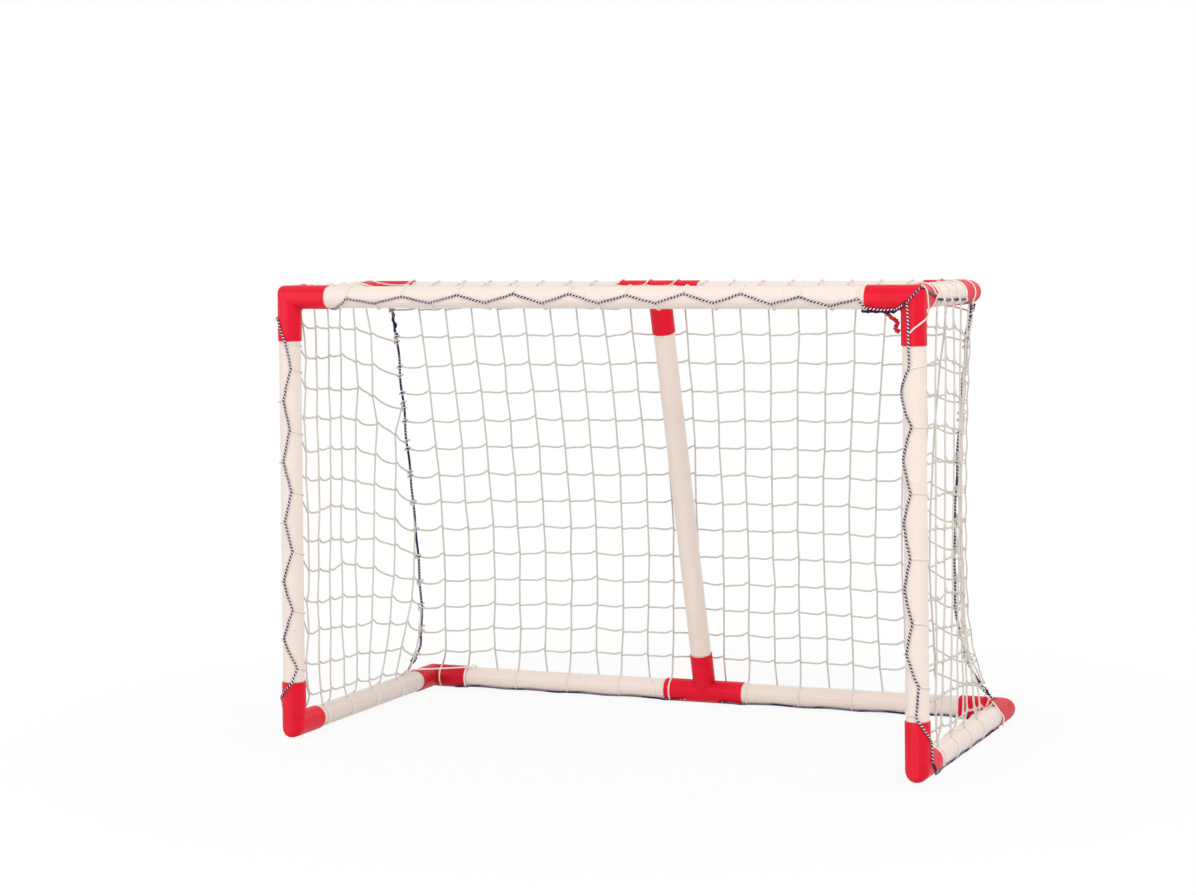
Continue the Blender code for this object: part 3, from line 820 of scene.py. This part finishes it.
knot = {}
for i in COLUMNS:
    for k in TOP_ROWS:
        knot["top", i, k] = knot_by_hand(top_place(i, k), 0.0012)
    x = column_x(i, 0)
    high = REAR_TOP.strand_height(x) + STRAND * (1 - PRESSED)
    knot["crest", i] = web.point(REAR_TOP.spot(x, CREST_ANGLE, high))
    for r in BACK_ROWS:
        knot["back", i, r] = knot_by_hand(back_place(i, r), 0.0009)
print(len(knot), "knots")

# %% Strands of the top and of the back
IN_FRONT = {1, 2, 4, 6, 8, 10, 13, 15, 17, 19, 20}

for i in COLUMNS:
    x, angle = bar_turn(i - 2)
    begin, leave = (angle - BESIDE, -165) if i % 2 else (angle + BESIDE, 130)
    start = web.hold(CROSSBAR.wound(x, begin, leave))
    column = strand("top", "column", start, [knot["top", i, k] for k in TOP_ROWS], [knot["crest", i]])
    web.pressed.update(column[-4:])

    arrive, finish = (75, -52) if i in IN_FRONT else (165, 232)
    end = web.hold(REAR_BASE.wound(column_x(i, 1), arrive, finish))
    column = strand("back", "column", [knot["crest", i]], [knot["back", i, r] for r in BACK_ROWS], end)
    web.pressed.update(column[:3])

for k in TOP_ROWS:
    seam = between(SEAM, seam_depth(k))
    left, right = (web.hold(SIDE_BARS[side][1].wound(seam_depth(k), seam - 9, 100, over=seam))
                   for side in SIDE_NAMES)
    strand("top", "row", left, [knot["top", i, k] for i in COLUMNS], right[::-1])

for r in BACK_ROWS:
    height = web.places[knot["back", 1, r]].z - 0.002
    left, right = ([web.point(rope_at(side, height) + Y * 0.001, True)] for side in SIDE_NAMES)
    strand("back", "row", left, [knot["back", i, r] for i in COLUMNS], right, SLACK)
print("top and back: %d points, %d links" % (len(web.places), len(web.links)))

# %% [markdown]
# ## Sides
# Each side hangs from a seam on the top side tube. Its columns are nearer together than a mesh is long, so
# its rows hang in small scallops. Toward the rear the rope slopes away, and new columns begin on it.

# %% Knots and strands of the sides
SIDE_COLUMNS = range(1, 10)
TOP_COLUMNS = 6
FIRST_ROW = {7: 3, 8: 6, 9: 10}
ROPE_STARTS = {7: 0.492, 8: 0.325, 9: 0.149}
BULGE = ((0.046, -0.0024), (0.088, 0.0015), (0.129, 0.0037), (0.176, 0.0086), (0.220, 0.0086),
         (0.262, -0.005))


def rope_height(k):
    """Where side row k meets the corner rope."""
    return 0.592 - SIDE_ROW * k - 0.026 * math.sin(math.pi * min(k / 10, 1.0))


def base_depth(side, c):
    step = c - 1
    return 0.043 + 0.0385 * step + 0.00047 * step * step if side < 0 else 0.046 + 0.0372 * step


def side_place(side, c, k):
    """Knot of column c and row k: straight behind the post, then out, then in toward the rope."""
    end = rope_at(side, rope_height(k))
    height = knot_height(k)
    fall = (knot_height(0) - height) / (knot_height(0) - BASE_Z)
    depth = seam_depth(c) + (base_depth(side, c) - seam_depth(c)) * fall
    rope_depth = end.y - FRONT_Y
    if c <= TOP_COLUMNS:
        depth = min(depth, rope_depth - 0.015 * (TOP_COLUMNS + 1 - c))
    share = min(depth / rope_depth, 1.0)
    sharpness = 8 if side > 0 else 6 if c <= TOP_COLUMNS else 3
    x = HALF_WIDTH + (between(BULGE, depth) + (0.0045 if side > 0 else 0)) * (1 - fall) ** 0.5
    x += (abs(end.x) - x) * share ** sharpness
    sag = 0.006 * math.sin(math.pi * share) if side < 0 else 0.0
    return Vector((side * x, FRONT_Y + depth, height - sag - (height - end.z) * share ** 4))


for side, name in SIDE_NAMES.items():
    post, top_bar, base_bar = SIDE_BARS[side]
    for c in SIDE_COLUMNS:
        for k in POST_TURNS[FIRST_ROW.get(c, 0):]:
            knot[name, c, k] = knot_by_hand(side_place(side, c, k), 0.0022)

    for c in SIDE_COLUMNS:
        if c <= TOP_COLUMNS:
            depth = 0.049 + 0.0435 * (c - 1)
            seam = between(SEAM, depth)
            start = web.hold(top_bar.wound(depth, seam + 9, -62, over=seam))
        else:
            start = [web.point(rope_at(side, ROPE_STARTS[c]) - Y * 0.001, True)]
        outside = c % 2 == (1 if side < 0 else 0)
        arrive, finish = (70, -48) if outside else (115, 225)
        end = web.hold(base_bar.wound(base_depth(side, c), arrive, finish))
        strand(name, "column", start, [knot[name, c, k] for k in POST_TURNS[FIRST_ROW.get(c, 0):]], end)

    for k in POST_TURNS:
        height, angle = post_turn(side, k)
        inner_turn = angle > 20 or (side < 0 and k == 1)
        begin, leave = (angle + BESIDE, 158) if inner_turn else (angle - BESIDE, -165)
        if side > 0 and k in (0, 12):
            begin, leave = 120, 158
        drop = Vector((0, 0, max(knot_height(k) - height, -0.03) * 0.35))
        if side > 0 and k == 1:
            drop.z = 0.011
        start = web.hold(post.wound(height, begin, leave, drop))
        end = web.point(rope_at(side, rope_height(k)) - Y * 0.001, True)
        inner = [knot[name, c, k] for c in SIDE_COLUMNS if k >= FIRST_ROW.get(c, 0)]
        strand(name, "row", start, inner, [end], SLACK)
print("whole net: %d points, %d links" % (len(web.places), len(web.links)))

# %% [markdown]
# ## Letting the net hang
# Each step moves every free point by its speed and a little gravity, and then mends what that broke: links
# that grew too long are drawn in, and points inside a tube are pushed out. Links that share no point can be
# mended at the same time, so they are sorted into groups, and numpy mends a whole group at once.

# %% Groups of links, and the bars as capsules
def groups_of(links, count):
    """Numbers of links, in groups in which no two links share a point."""
    used = [set() for _ in range(count)]
    groups = {}
    for number, (a, b, _) in enumerate(links):
        group = min(set(range(16)) - used[a] - used[b])
        used[a].add(group)
        used[b].add(group)
        groups.setdefault(group, []).append(number)
    return [np.array(groups[group]) for group in sorted(groups)]


def capsules():
    """Bars and fittings as start, end and radius."""
    tee_top, tee_base = REAR_TOP.axis(0), REAR_BASE.axis(0)
    runs = [(CROSSBAR.axis(-HALF_WIDTH), CROSSBAR.axis(HALF_WIDTH)), (tee_top, tee_base)]
    for _, top_bar, base_bar in SIDE_BARS.values():
        front_top, rear_top = top_bar.axis(0), top_bar.axis(TOP_DEPTH)
        front_base, rear_base = base_bar.axis(0), base_bar.axis(BASE_DEPTH)
        runs += [(front_top, front_base), (front_top, rear_top), (front_base, rear_base), (rear_top, tee_top),
                 (rear_base, tee_base)]
    bars = []
    for start, end in runs:
        leg = (end - start).normalized() * FITTING_REACH
        bars += [(start, end, TUBE_RADIUS), (start, start + leg, FITTING_RADIUS),
                 (end - leg, end, FITTING_RADIUS)]
    return bars


def push_out(points, bars, free):
    for start, end, radius in bars:
        start, span = np.array(start), np.array(end - start)
        share = np.clip((points - start) @ span / (span @ span), 0, 1)
        away = points - (start + share[:, None] * span)
        distance = np.linalg.norm(away, axis=1)
        inside = free & (distance < radius + STRAND + CLEAR)
        reach = (radius + STRAND + CLEAR) / distance[inside] - 1
        points[inside] += away[inside] * reach[:, None]


def hang(web, steps, sweeps=10, gravity=5e-6, keep_speed=0.9):
    """Lets the free points of a web settle, and returns all of them as an array."""
    points = np.array([tuple(place) for place in web.places])
    started = points.copy()
    free = ~np.array(web.held)
    weight = free.astype(float)
    links = np.array([(a, b) for a, b, _ in web.links])
    lengths = np.array([length for _, _, length in web.links])
    groups = groups_of(web.links, len(points))
    bars = capsules()
    before = points.copy()
    for step in range(steps):
        moved = points + (points - before) * keep_speed * weight[:, None]
        moved[free, 2] -= gravity * min(1.0, 3 * (1 - step / steps))
        before = points
        points = moved
        for sweep in range(sweeps):
            for group in groups:
                a, b = links[group, 0], links[group, 1]
                gap = points[b] - points[a]
                distance = np.linalg.norm(gap, axis=1)
                excess = np.maximum(distance - lengths[group], 0) / distance
                share = weight[a] + weight[b]
                share[share == 0] = 1
                fix = gap * (excess / share)[:, None]
                points[a] += fix * weight[a][:, None]
                points[b] -= fix * weight[b][:, None]
        push_out(points, bars, free)
    moved = np.linalg.norm(points - started, axis=1)
    print("settled: %.1f mm moved on average, %.1f mm at most" % (moved.mean() * 1000, moved.max() * 1000))
    return points


settled = hang(web, 260)

# %% [markdown]
# ## From the web to twine
# A row doesn't meet a column in one point. In this knotless net the yarns pass through each other and part
# again about 3 mm further along the column, so each row makes a small step at every column. That step gives
# the meshes their slightly turned look.

# %% Paths of the twine
STEP = {"top": 0.0016, "back": 0.0023, "left": -0.0021, "right": -0.0038}
KNOT_LENGTH = 0.0032


def twine_path(path, step=0.0):
    """Path of one strand; a row gets its small step at each column."""
    places = [Vector(settled[spot]) for spot in path]
    made = []
    for number, spot in enumerate(path):
        place = places[number]
        if step and spot in web.upright and 0 < number < len(path) - 1:
            above, beneath = (Vector(settled[end]) for end in web.upright[spot])
            up = (above - beneath).normalized()
            onward = (places[number + 1] - places[number - 1]).normalized()
            made.append((*(place - onward * KNOT_LENGTH / 2 + up * step), 1.0))
            made.append((*(place + onward * KNOT_LENGTH / 2 - up * step), 1.0))
        else:
            made.append((*place, PRESSED if spot in web.pressed else 1.0))
    return made


def split_wound(strands):
    """Cuts strands where they go onto or off a bar, and returns the free and the wound parts."""
    parts = {False: [], True: []}
    for points in strands:
        start = 0
        for end in range(1, len(points)):
            if (points[end][3] < 1) != (points[start][3] < 1):
                parts[points[start][3] < 1].append(points[start:end + 1])
                start = end
        if len(points) - start > 1:
            parts[points[start][3] < 1].append(points[start:])
    return parts.values()


for panel in PANELS:
    strands = [twine_path(path) for path in paths[panel, "column"]]
    strands += [twine_path(path, STEP[panel]) for path in paths[panel, "row"]]
    free, wound = split_wound(strands)
    node = "net_" + panel
    cords(node, node + "_twine", free, STRAND, TWINE)
    cords(node, node + "_wound", wound, STRAND, WOUND_TWINE_PAINTED_LIGHT)

# %% [markdown]
# ## Knots
# Where a row passes through a column the yarns swell a little. A second node tree sets a copy of one small
# lump on every crossing, turned along its column. A shape that is repeated hundreds of times has to be
# simple, so the lump is a sphere of 80 faces.

# %% The knot tree and the knots
KNOT_SIZE = (0.0020, 0.0020, 0.0033)


def knot_tree():
    tree = Recipe("knots", Size="Vector")
    ball = tree.node("GeometryNodeMeshIcoSphere", {"Radius": 1, "Subdivisions": 2})
    uv = tree.node("ShaderNodeVectorMath", {0: ball["UV Map"], 1: (1, 2 * KNOT_SIZE[2], 0)},
                   operation="MULTIPLY")
    way = tree.node("GeometryNodeInputNamedAttribute", {"Name": "way"}, data_type="FLOAT_VECTOR")
    turned = tree.node("FunctionNodeAlignRotationToVector", {"Vector": way}, axis="Z")
    return tree.end(tree.node("GeometryNodeInstanceOnPoints", {
        "Points": tree.start, "Instance": tree.with_uv(ball, uv), "Rotation": turned,
        "Scale": tree.start["Size"]}))


KNOT_TREE = knot_tree()


def knots(node, spots):
    """One mesh of knots at crossings of the web."""
    name = node + "_knots"
    mesh = bpy.data.meshes.new(name + "_spots")
    mesh.from_pydata([tuple(settled[spot]) for spot in spots], [], [])
    way = mesh.attributes.new("way", "FLOAT_VECTOR", "POINT")
    for number, spot in enumerate(spots):
        above, beneath = web.upright[spot]
        way.data[number].vector = settled[above] - settled[beneath]
    made = KNOT_TREE.run(name, mesh, Size=KNOT_SIZE, Material=TWINE)
    bpy.data.meshes.remove(mesh)
    keep(made, node)
    print("%-24s %5d knots, %6d faces" % (name, len(spots), len(made.data.polygons)))


for panel in PANELS:
    crossings = [spot for path in paths[panel, "row"] for spot in path if spot in web.upright]
    knots("net_" + panel, crossings)

# %% [markdown]
# ## Border cord
# The navy cord is led round the whole mouth and base by hand. It zigzags because each net loop pulls it to
# its own side of the bar. Its turns were listed above, so it only has to run from turn to turn on the bar,
# a little unevenly. Where the bar goes into a fitting, the cord climbs onto the rim.

# %% Zigzags on the crossbar, the posts and the base
CORNER_KNOT, = from_front((0.4898, -0.0218, 0.6686))
BEHIND_LEFT = from_front((-0.5138, 0.002, 0.645), (-0.508, 0.0150, 0.646), (-0.494, 0.0208, 0.648),
                         (-0.484, 0.0180, 0.654), (-0.476, 0.0185, 0.664), (-0.462, 0.0185, 0.668))
LEFT_END = [(-0.445, -150), (-0.430, -125), (-0.416, -95)]
RIGHT_END = [(0.4287, -48), (0.449, -58), (0.4706, -55)]
POST_ENDS = {-1: ([(0.645, -96)], [(0.085, 20), (0.066, -35), (0.056, -80), (0.040, -97), (0.027, -101)]),
             1: ([(0.660, 10)], [(0.070, -55), (0.055, -93), (0.040, -99), (0.027, -102)])}


def zigzag(bar, turns, uneven=1.1):
    """Points of a cord on a bar from turn to turn. A turn is a place along the bar and an angle."""
    made = []
    for (start, low), (end, high) in zip(turns, turns[1:]):
        for step in range(5):
            share = step / 5
            wobble = uneven * random.standard_normal() if step else 0
            made.append(bar.cord_spot(start + (end - start) * share, low + (high - low) * share + wobble))
    return made + [bar.cord_spot(*turns[-1])]


def low_zigzag(bar, first, pitch, count):
    """A flat zigzag low on the outside of a base bar."""
    return zigzag(bar, [(first + pitch * k, -41 if k % 2 else -52) for k in range(count)], 0.5)


def border_cord(stretch, end, path, finish=BORDER_BRAID):
    """A stretch of the border cord. The end of its name says on which side it is."""
    cords("border_cord_" + stretch + end, stretch + "_cord" + end, [path], BORDER_RADIUS, finish)


turns = [*LEFT_END, *(bar_turn(j) for j in BAR_TURNS), *RIGHT_END]
border_cord("crossbar", "", BEHIND_LEFT + zigzag(CROSSBAR, turns) + [CORNER_KNOT])

for side, name in SIDE_NAMES.items():
    post, _, base_bar = SIDE_BARS[side]
    above, beneath = POST_ENDS[side]
    path = zigzag(post, above + [post_turn(side, k) for k in POST_TURNS] + beneath)
    if side > 0:
        path.insert(0, CORNER_KNOT)
    border_cord("post", "_" + name, path)
    round_elbow = from_front((side * (HALF_WIDTH + 0.0198), 0.022, 0.015))
    path = path[-1:] + round_elbow + low_zigzag(base_bar, 0.047, 0.0452, 9)
    border_cord("base", "_" + name, path, ROPE_BRAID)
    path = low_zigzag(REAR_BASE, side * 0.446, side * -0.0462, 10)
    border_cord("rear", "_" + name, path, ROPE_BRAID)

# %% [markdown]
# ## Seam cords and corner ropes
# Top and side panels meet on the outside of each top side tube, where every strand loops over a seam cord.
# At the rear top elbow the cord is knotted to the corner rope. Each rope is bound to the net with about one
# turn of twine at every row. On the right, two slack edge strands of the net hang behind the rope and are
# tied to it by short loops.

# %% Coils
def coil(middle, radius, turns, phase=0.0):
    """A coil round a path of points, with its turns spread evenly over the path."""
    last = len(middle) - 1
    count = max(last, int(turns * 10))
    made = []
    for step in range(count + 1):
        place = last * step / count
        ahead = smooth_through(middle, min(place + 0.1, last)) - smooth_through(middle, max(place - 0.1, 0))
        across = ahead.cross(X if abs(ahead.x) < 0.7 * ahead.length else Y).normalized()
        up = across.cross(ahead).normalized()
        angle = 2 * math.pi * turns * step / count + phase
        outward = across * math.cos(angle) + up * math.sin(angle)
        made.append(smooth_through(middle, place) + outward * radius)
    return made


DOUBLED_TURNS = [(0.4185, -86), (0.4290, -78), (0.4490, -80), (0.4680, -74)]
doubling = coil(zigzag(CROSSBAR, DOUBLED_TURNS) + [CORNER_KNOT], 0.0005, 5)
cords("border_cord_crossbar", "corner_doubling", [doubling], 0.0020, PLAIN_BRAID)

# %% Seam cords
SEAM_STARTS = {
    1: [CORNER_KNOT] + from_front((0.4970, -0.0206, 0.6765), (0.5045, -0.0172, 0.6853),
                                  (0.5103, -0.0105, 0.6915)),
    -1: from_front((-0.5138, 0.003, 0.650), (-0.5145, 0.010, 0.658), (-0.5150, 0.022, 0.668)),
}
SEAM_END = 0.250


def seam_spot(side, depth):
    """Middle of the seam cord, which every strand pulls down a little."""
    ripple = 1.5 * math.sin(2 * math.pi * (depth - 0.035) / 0.0435)
    return SIDE_BARS[side][1].cord_spot(depth, between(SEAM, depth) + ripple)


for side, name in SIDE_NAMES.items():
    first = 0.008 if side > 0 else 0.046
    path = SEAM_STARTS[side] + [seam_spot(side, first + (SEAM_END - first) * step / 24) for step in range(25)]
    path += from_front((side * (HALF_WIDTH + 0.0125), 0.268, 0.657)) + [rope_at(side, 0.650)]
    braid = BORDER_BRAID if side < 0 else ROPE_BRAID
    cords("seam_cord_top_" + name, "seam_cord_" + name, [path], BORDER_RADIUS, braid)

# %% Corner ropes and their bindings
ROPE_RADII = {-1: 0.0033, 1: 0.0025}
ROPE_BRAIDS = {-1: ROPE_BRAID, 1: FLECKED_BRAID}
ROPE_STEPS = 60
SLACK_EDGES = ((0.64, 0.0), (0.82, 2.0))


def wrap(side, height, half, radius, turns):
    """A coil round a corner rope, from half its height above the given height to half below."""
    return coil([rope_at(side, height + half), rope_at(side, height - half)], radius, turns)


def slack_edge(side, tight, phase):
    """An edge strand of the net that hangs behind the rope, with a wave at every mesh."""
    edge = []
    for step in range(58):
        height = 0.640 - 0.010 * step
        wave = math.sin(2 * math.pi * height / 0.0478 + phase)
        edge.append(rope_at(side, height, tight) + X * 0.0012 * wave - Y * 0.001 * wave)
    return edge


for side, name in SIDE_NAMES.items():
    thick = ROPE_RADII[side]
    rope = []
    for step in range(ROPE_STEPS + 1):
        share = step / ROPE_STEPS
        uneven = Vector((math.sin(47 * share), math.cos(39 * share), 0)) * 0.0009 * min(1, 8 * (1 - share))
        rope.append((*(rope_point(side, share) + uneven), thick / 0.002))
    doubled = coil([rope_at(side, 0.660 - 0.006 * step) for step in range(11)], thick * 0.6, 3.5)
    navy = [rope, doubled, wrap(side, 0.652, 0.004, thick * 1.3, 2.6),
            wrap(side, 0.058, 0.004, thick * 0.8, 2.2)]
    cords("corner_rope_" + name, "corner_rope_" + name + "_braid", navy, 0.002, ROPE_BRAIDS[side])

    heights = [settled[path[0 if side < 0 else -1]][2] for path in paths["back", "row"]]
    heights += [rope_height(k) for k in POST_TURNS] + list(ROPE_STARTS.values())
    ring = thick + STRAND + CLEAR
    bindings = [wrap(side, z, 0.003, ring, 1.1) for z in heights if 0.045 < z < 0.66]
    if side > 0:
        bindings += [slack_edge(side, tight, phase) for tight, phase in SLACK_EDGES]
        bindings += [[rope_at(side, z + 0.006), rope_at(side, z, SLACK_EDGES[0][0]), rope_at(side, z - 0.006)]
                     for z in heights if 0.10 < z < 0.60]
    cords("net_" + name, "rope_bindings_" + name, bindings, STRAND * 0.8, TWINE)

# %% [markdown]
# ## Loose ends
# A red tie of two twisted plies hangs in the mouth's upper right corner. A few white strands cross the
# fittings where the net maker carried the twine from one bar to the next.

# %% Tie and strands over the fittings
TIE_ROUTE = ((-0.041, 0.002, -0.0205), (-0.036, -0.001, -0.024), (-0.031, -0.004, -0.028),
             (-0.027, 0.001, -0.031), (-0.0245, 0.004, -0.036), (-0.027, 0.001, -0.042),
             (-0.024, -0.003, -0.046), (-0.0215, 0.000, -0.047))
PLY_RADIUS = 0.0017
route = [CROSSBAR.axis(HALF_WIDTH) + Vector(point) for point in TIE_ROUTE]
middle_line = [smooth_through(route, step / 5) for step in range(5 * (len(route) - 1) + 1)]
plies = [coil(middle_line, PLY_RADIUS, 5, phase) for phase in (0, math.pi)]
cords("corner_tie", "corner_tie_plies", plies, PLY_RADIUS, RED_TIE)

REAR_VEE = ((0.448, 80), (0.453, 30), (0.460, -14), (0.466, -16), (0.472, 10), (0.476, 60))
over_fittings = {
    "right": [
        from_front((0.5103, -0.0120, 0.6925), (0.5140, -0.004, 0.686), (0.5140, 0.0035, 0.668),
                   (0.5140, 0.0035, 0.650), (0.509, -0.0145, 0.6405), (0.500, -0.0195, 0.633),
                   (0.4940, -0.0203, 0.6270)),
        from_front((0.466, 0.483, 0.0382), (0.485, 0.444, 0.0400), (0.503, 0.405, 0.0368),
                   (0.5142, 0.409, 0.020), (0.512, 0.411, 0.008)),
        [REAR_BASE.spot(x, angle, FITTING_RADIUS + STRAND + CLEAR) for x, angle in REAR_VEE],
    ],
    "left": [
        from_front((-0.5140, 0.400, 0.016), (-0.509, 0.401, 0.0325), (-0.498, 0.403, 0.0383),
                   (-0.458, 0.4305, 0.0383), (-0.418, 0.458, 0.0388), (-0.413, 0.478, 0.0385),
                   (-0.411, 0.5010, 0.022)),
    ],
}
for name, strands in over_fittings.items():
    cords("net_" + name, "carried_twine_" + name, strands, STRAND * 0.9, WOUND_TWINE_PAINTED_LIGHT, steps=3)

# %% [markdown]
# ## Floor and light
# A plain white floor in a white studio shows the goal as a catalogue does. To the camera the floor is
# mostly its own even white, with enough real shading left to keep the shadow. To every other ray it is matt
# white, so it throws soft light up at the tubes. One large lamp high on the right in front puts the
# highlights on the right of the posts and on top of the bars.

# %% Floor
FLOOR_HALF = 40.0
FLOOR_Z = -0.0003


def seen_rays(tree):
    """1 for rays from the camera, also by way of a shiny or clear surface, and 0 for all others."""
    rays = tree.node("ShaderNodeLightPath")
    seen = tree.maths("MAXIMUM", rays["Is Camera Ray"], rays["Is Glossy Ray"])
    return tree.maths("MAXIMUM", seen, rays["Is Transmission Ray"])


floor_mesh = bpy.data.meshes.new("floor")
floor_corners = [(x * FLOOR_HALF, y * FLOOR_HALF, FLOOR_Z) for x, y in ((-1, -1), (1, -1), (1, 1), (-1, 1))]
floor_mesh.from_pydata(floor_corners, [], [(0, 1, 2, 3)])
floor = show("floor", floor_mesh)

matt = Finish("floor_white", Base_Color=(0.80, 0.795, 0.79, 1), Roughness=0.9, Specular_IOR_Level=0.1)
distance = matt.node("ShaderNodeVectorMath", {0: matt.place()}, "Value", operation="LENGTH")
even_white = matt.node("ShaderNodeEmission", {"Color": (1, 1, 1, 1), "Strength": 1.0})
share = seen_rays(matt) * (0.90 + 0.10 * distance.ramp(0.5, 1.2))
shaded = Wire(matt, matt.shader.outputs[0])
mixed = matt.node("ShaderNodeMixShader", {0: share, 1: shaded, 2: even_white})
matt.connect(matt.tree.nodes["Material Output"], {0: mixed})
floor_mesh.materials.append(matt.material)
print("floor is %.0f m wide" % (2 * FLOOR_HALF))

# %% World and lamps
world = bpy.data.worlds.new("studio")
world.use_nodes = True
bpy.context.scene.world = world
studio = Tree(world.node_tree)
studio.connect(world.node_tree.nodes["Background"],
               {"Color": (1, 1, 1, 1), "Strength": 0.70 + 0.30 * seen_rays(studio)})


def lamp(name, place, size, power, aim=Vector((0, 0, 0.35))):
    data = bpy.data.lights.new(name, "AREA")
    data.shape = "DISK"
    data.size = size
    data.energy = power
    made = show(name, data)
    made.location = place
    made.rotation_euler = (aim - Vector(place)).to_track_quat("-Z", "Y").to_euler()
    print("%s: %d W, %.1f m away" % (name, power, (aim - Vector(place)).length))


lamp("key_lamp", (2.6, -2.9, 2.9), 1.6, 66)
lamp("fill_lamp", (-2.8, -2.6, 1.6), 2.4, 28)
lamp("back_lamp", (1.2, 3.2, 2.6), 2.0, 10)
bpy.context.scene.view_settings.view_transform = "Standard"
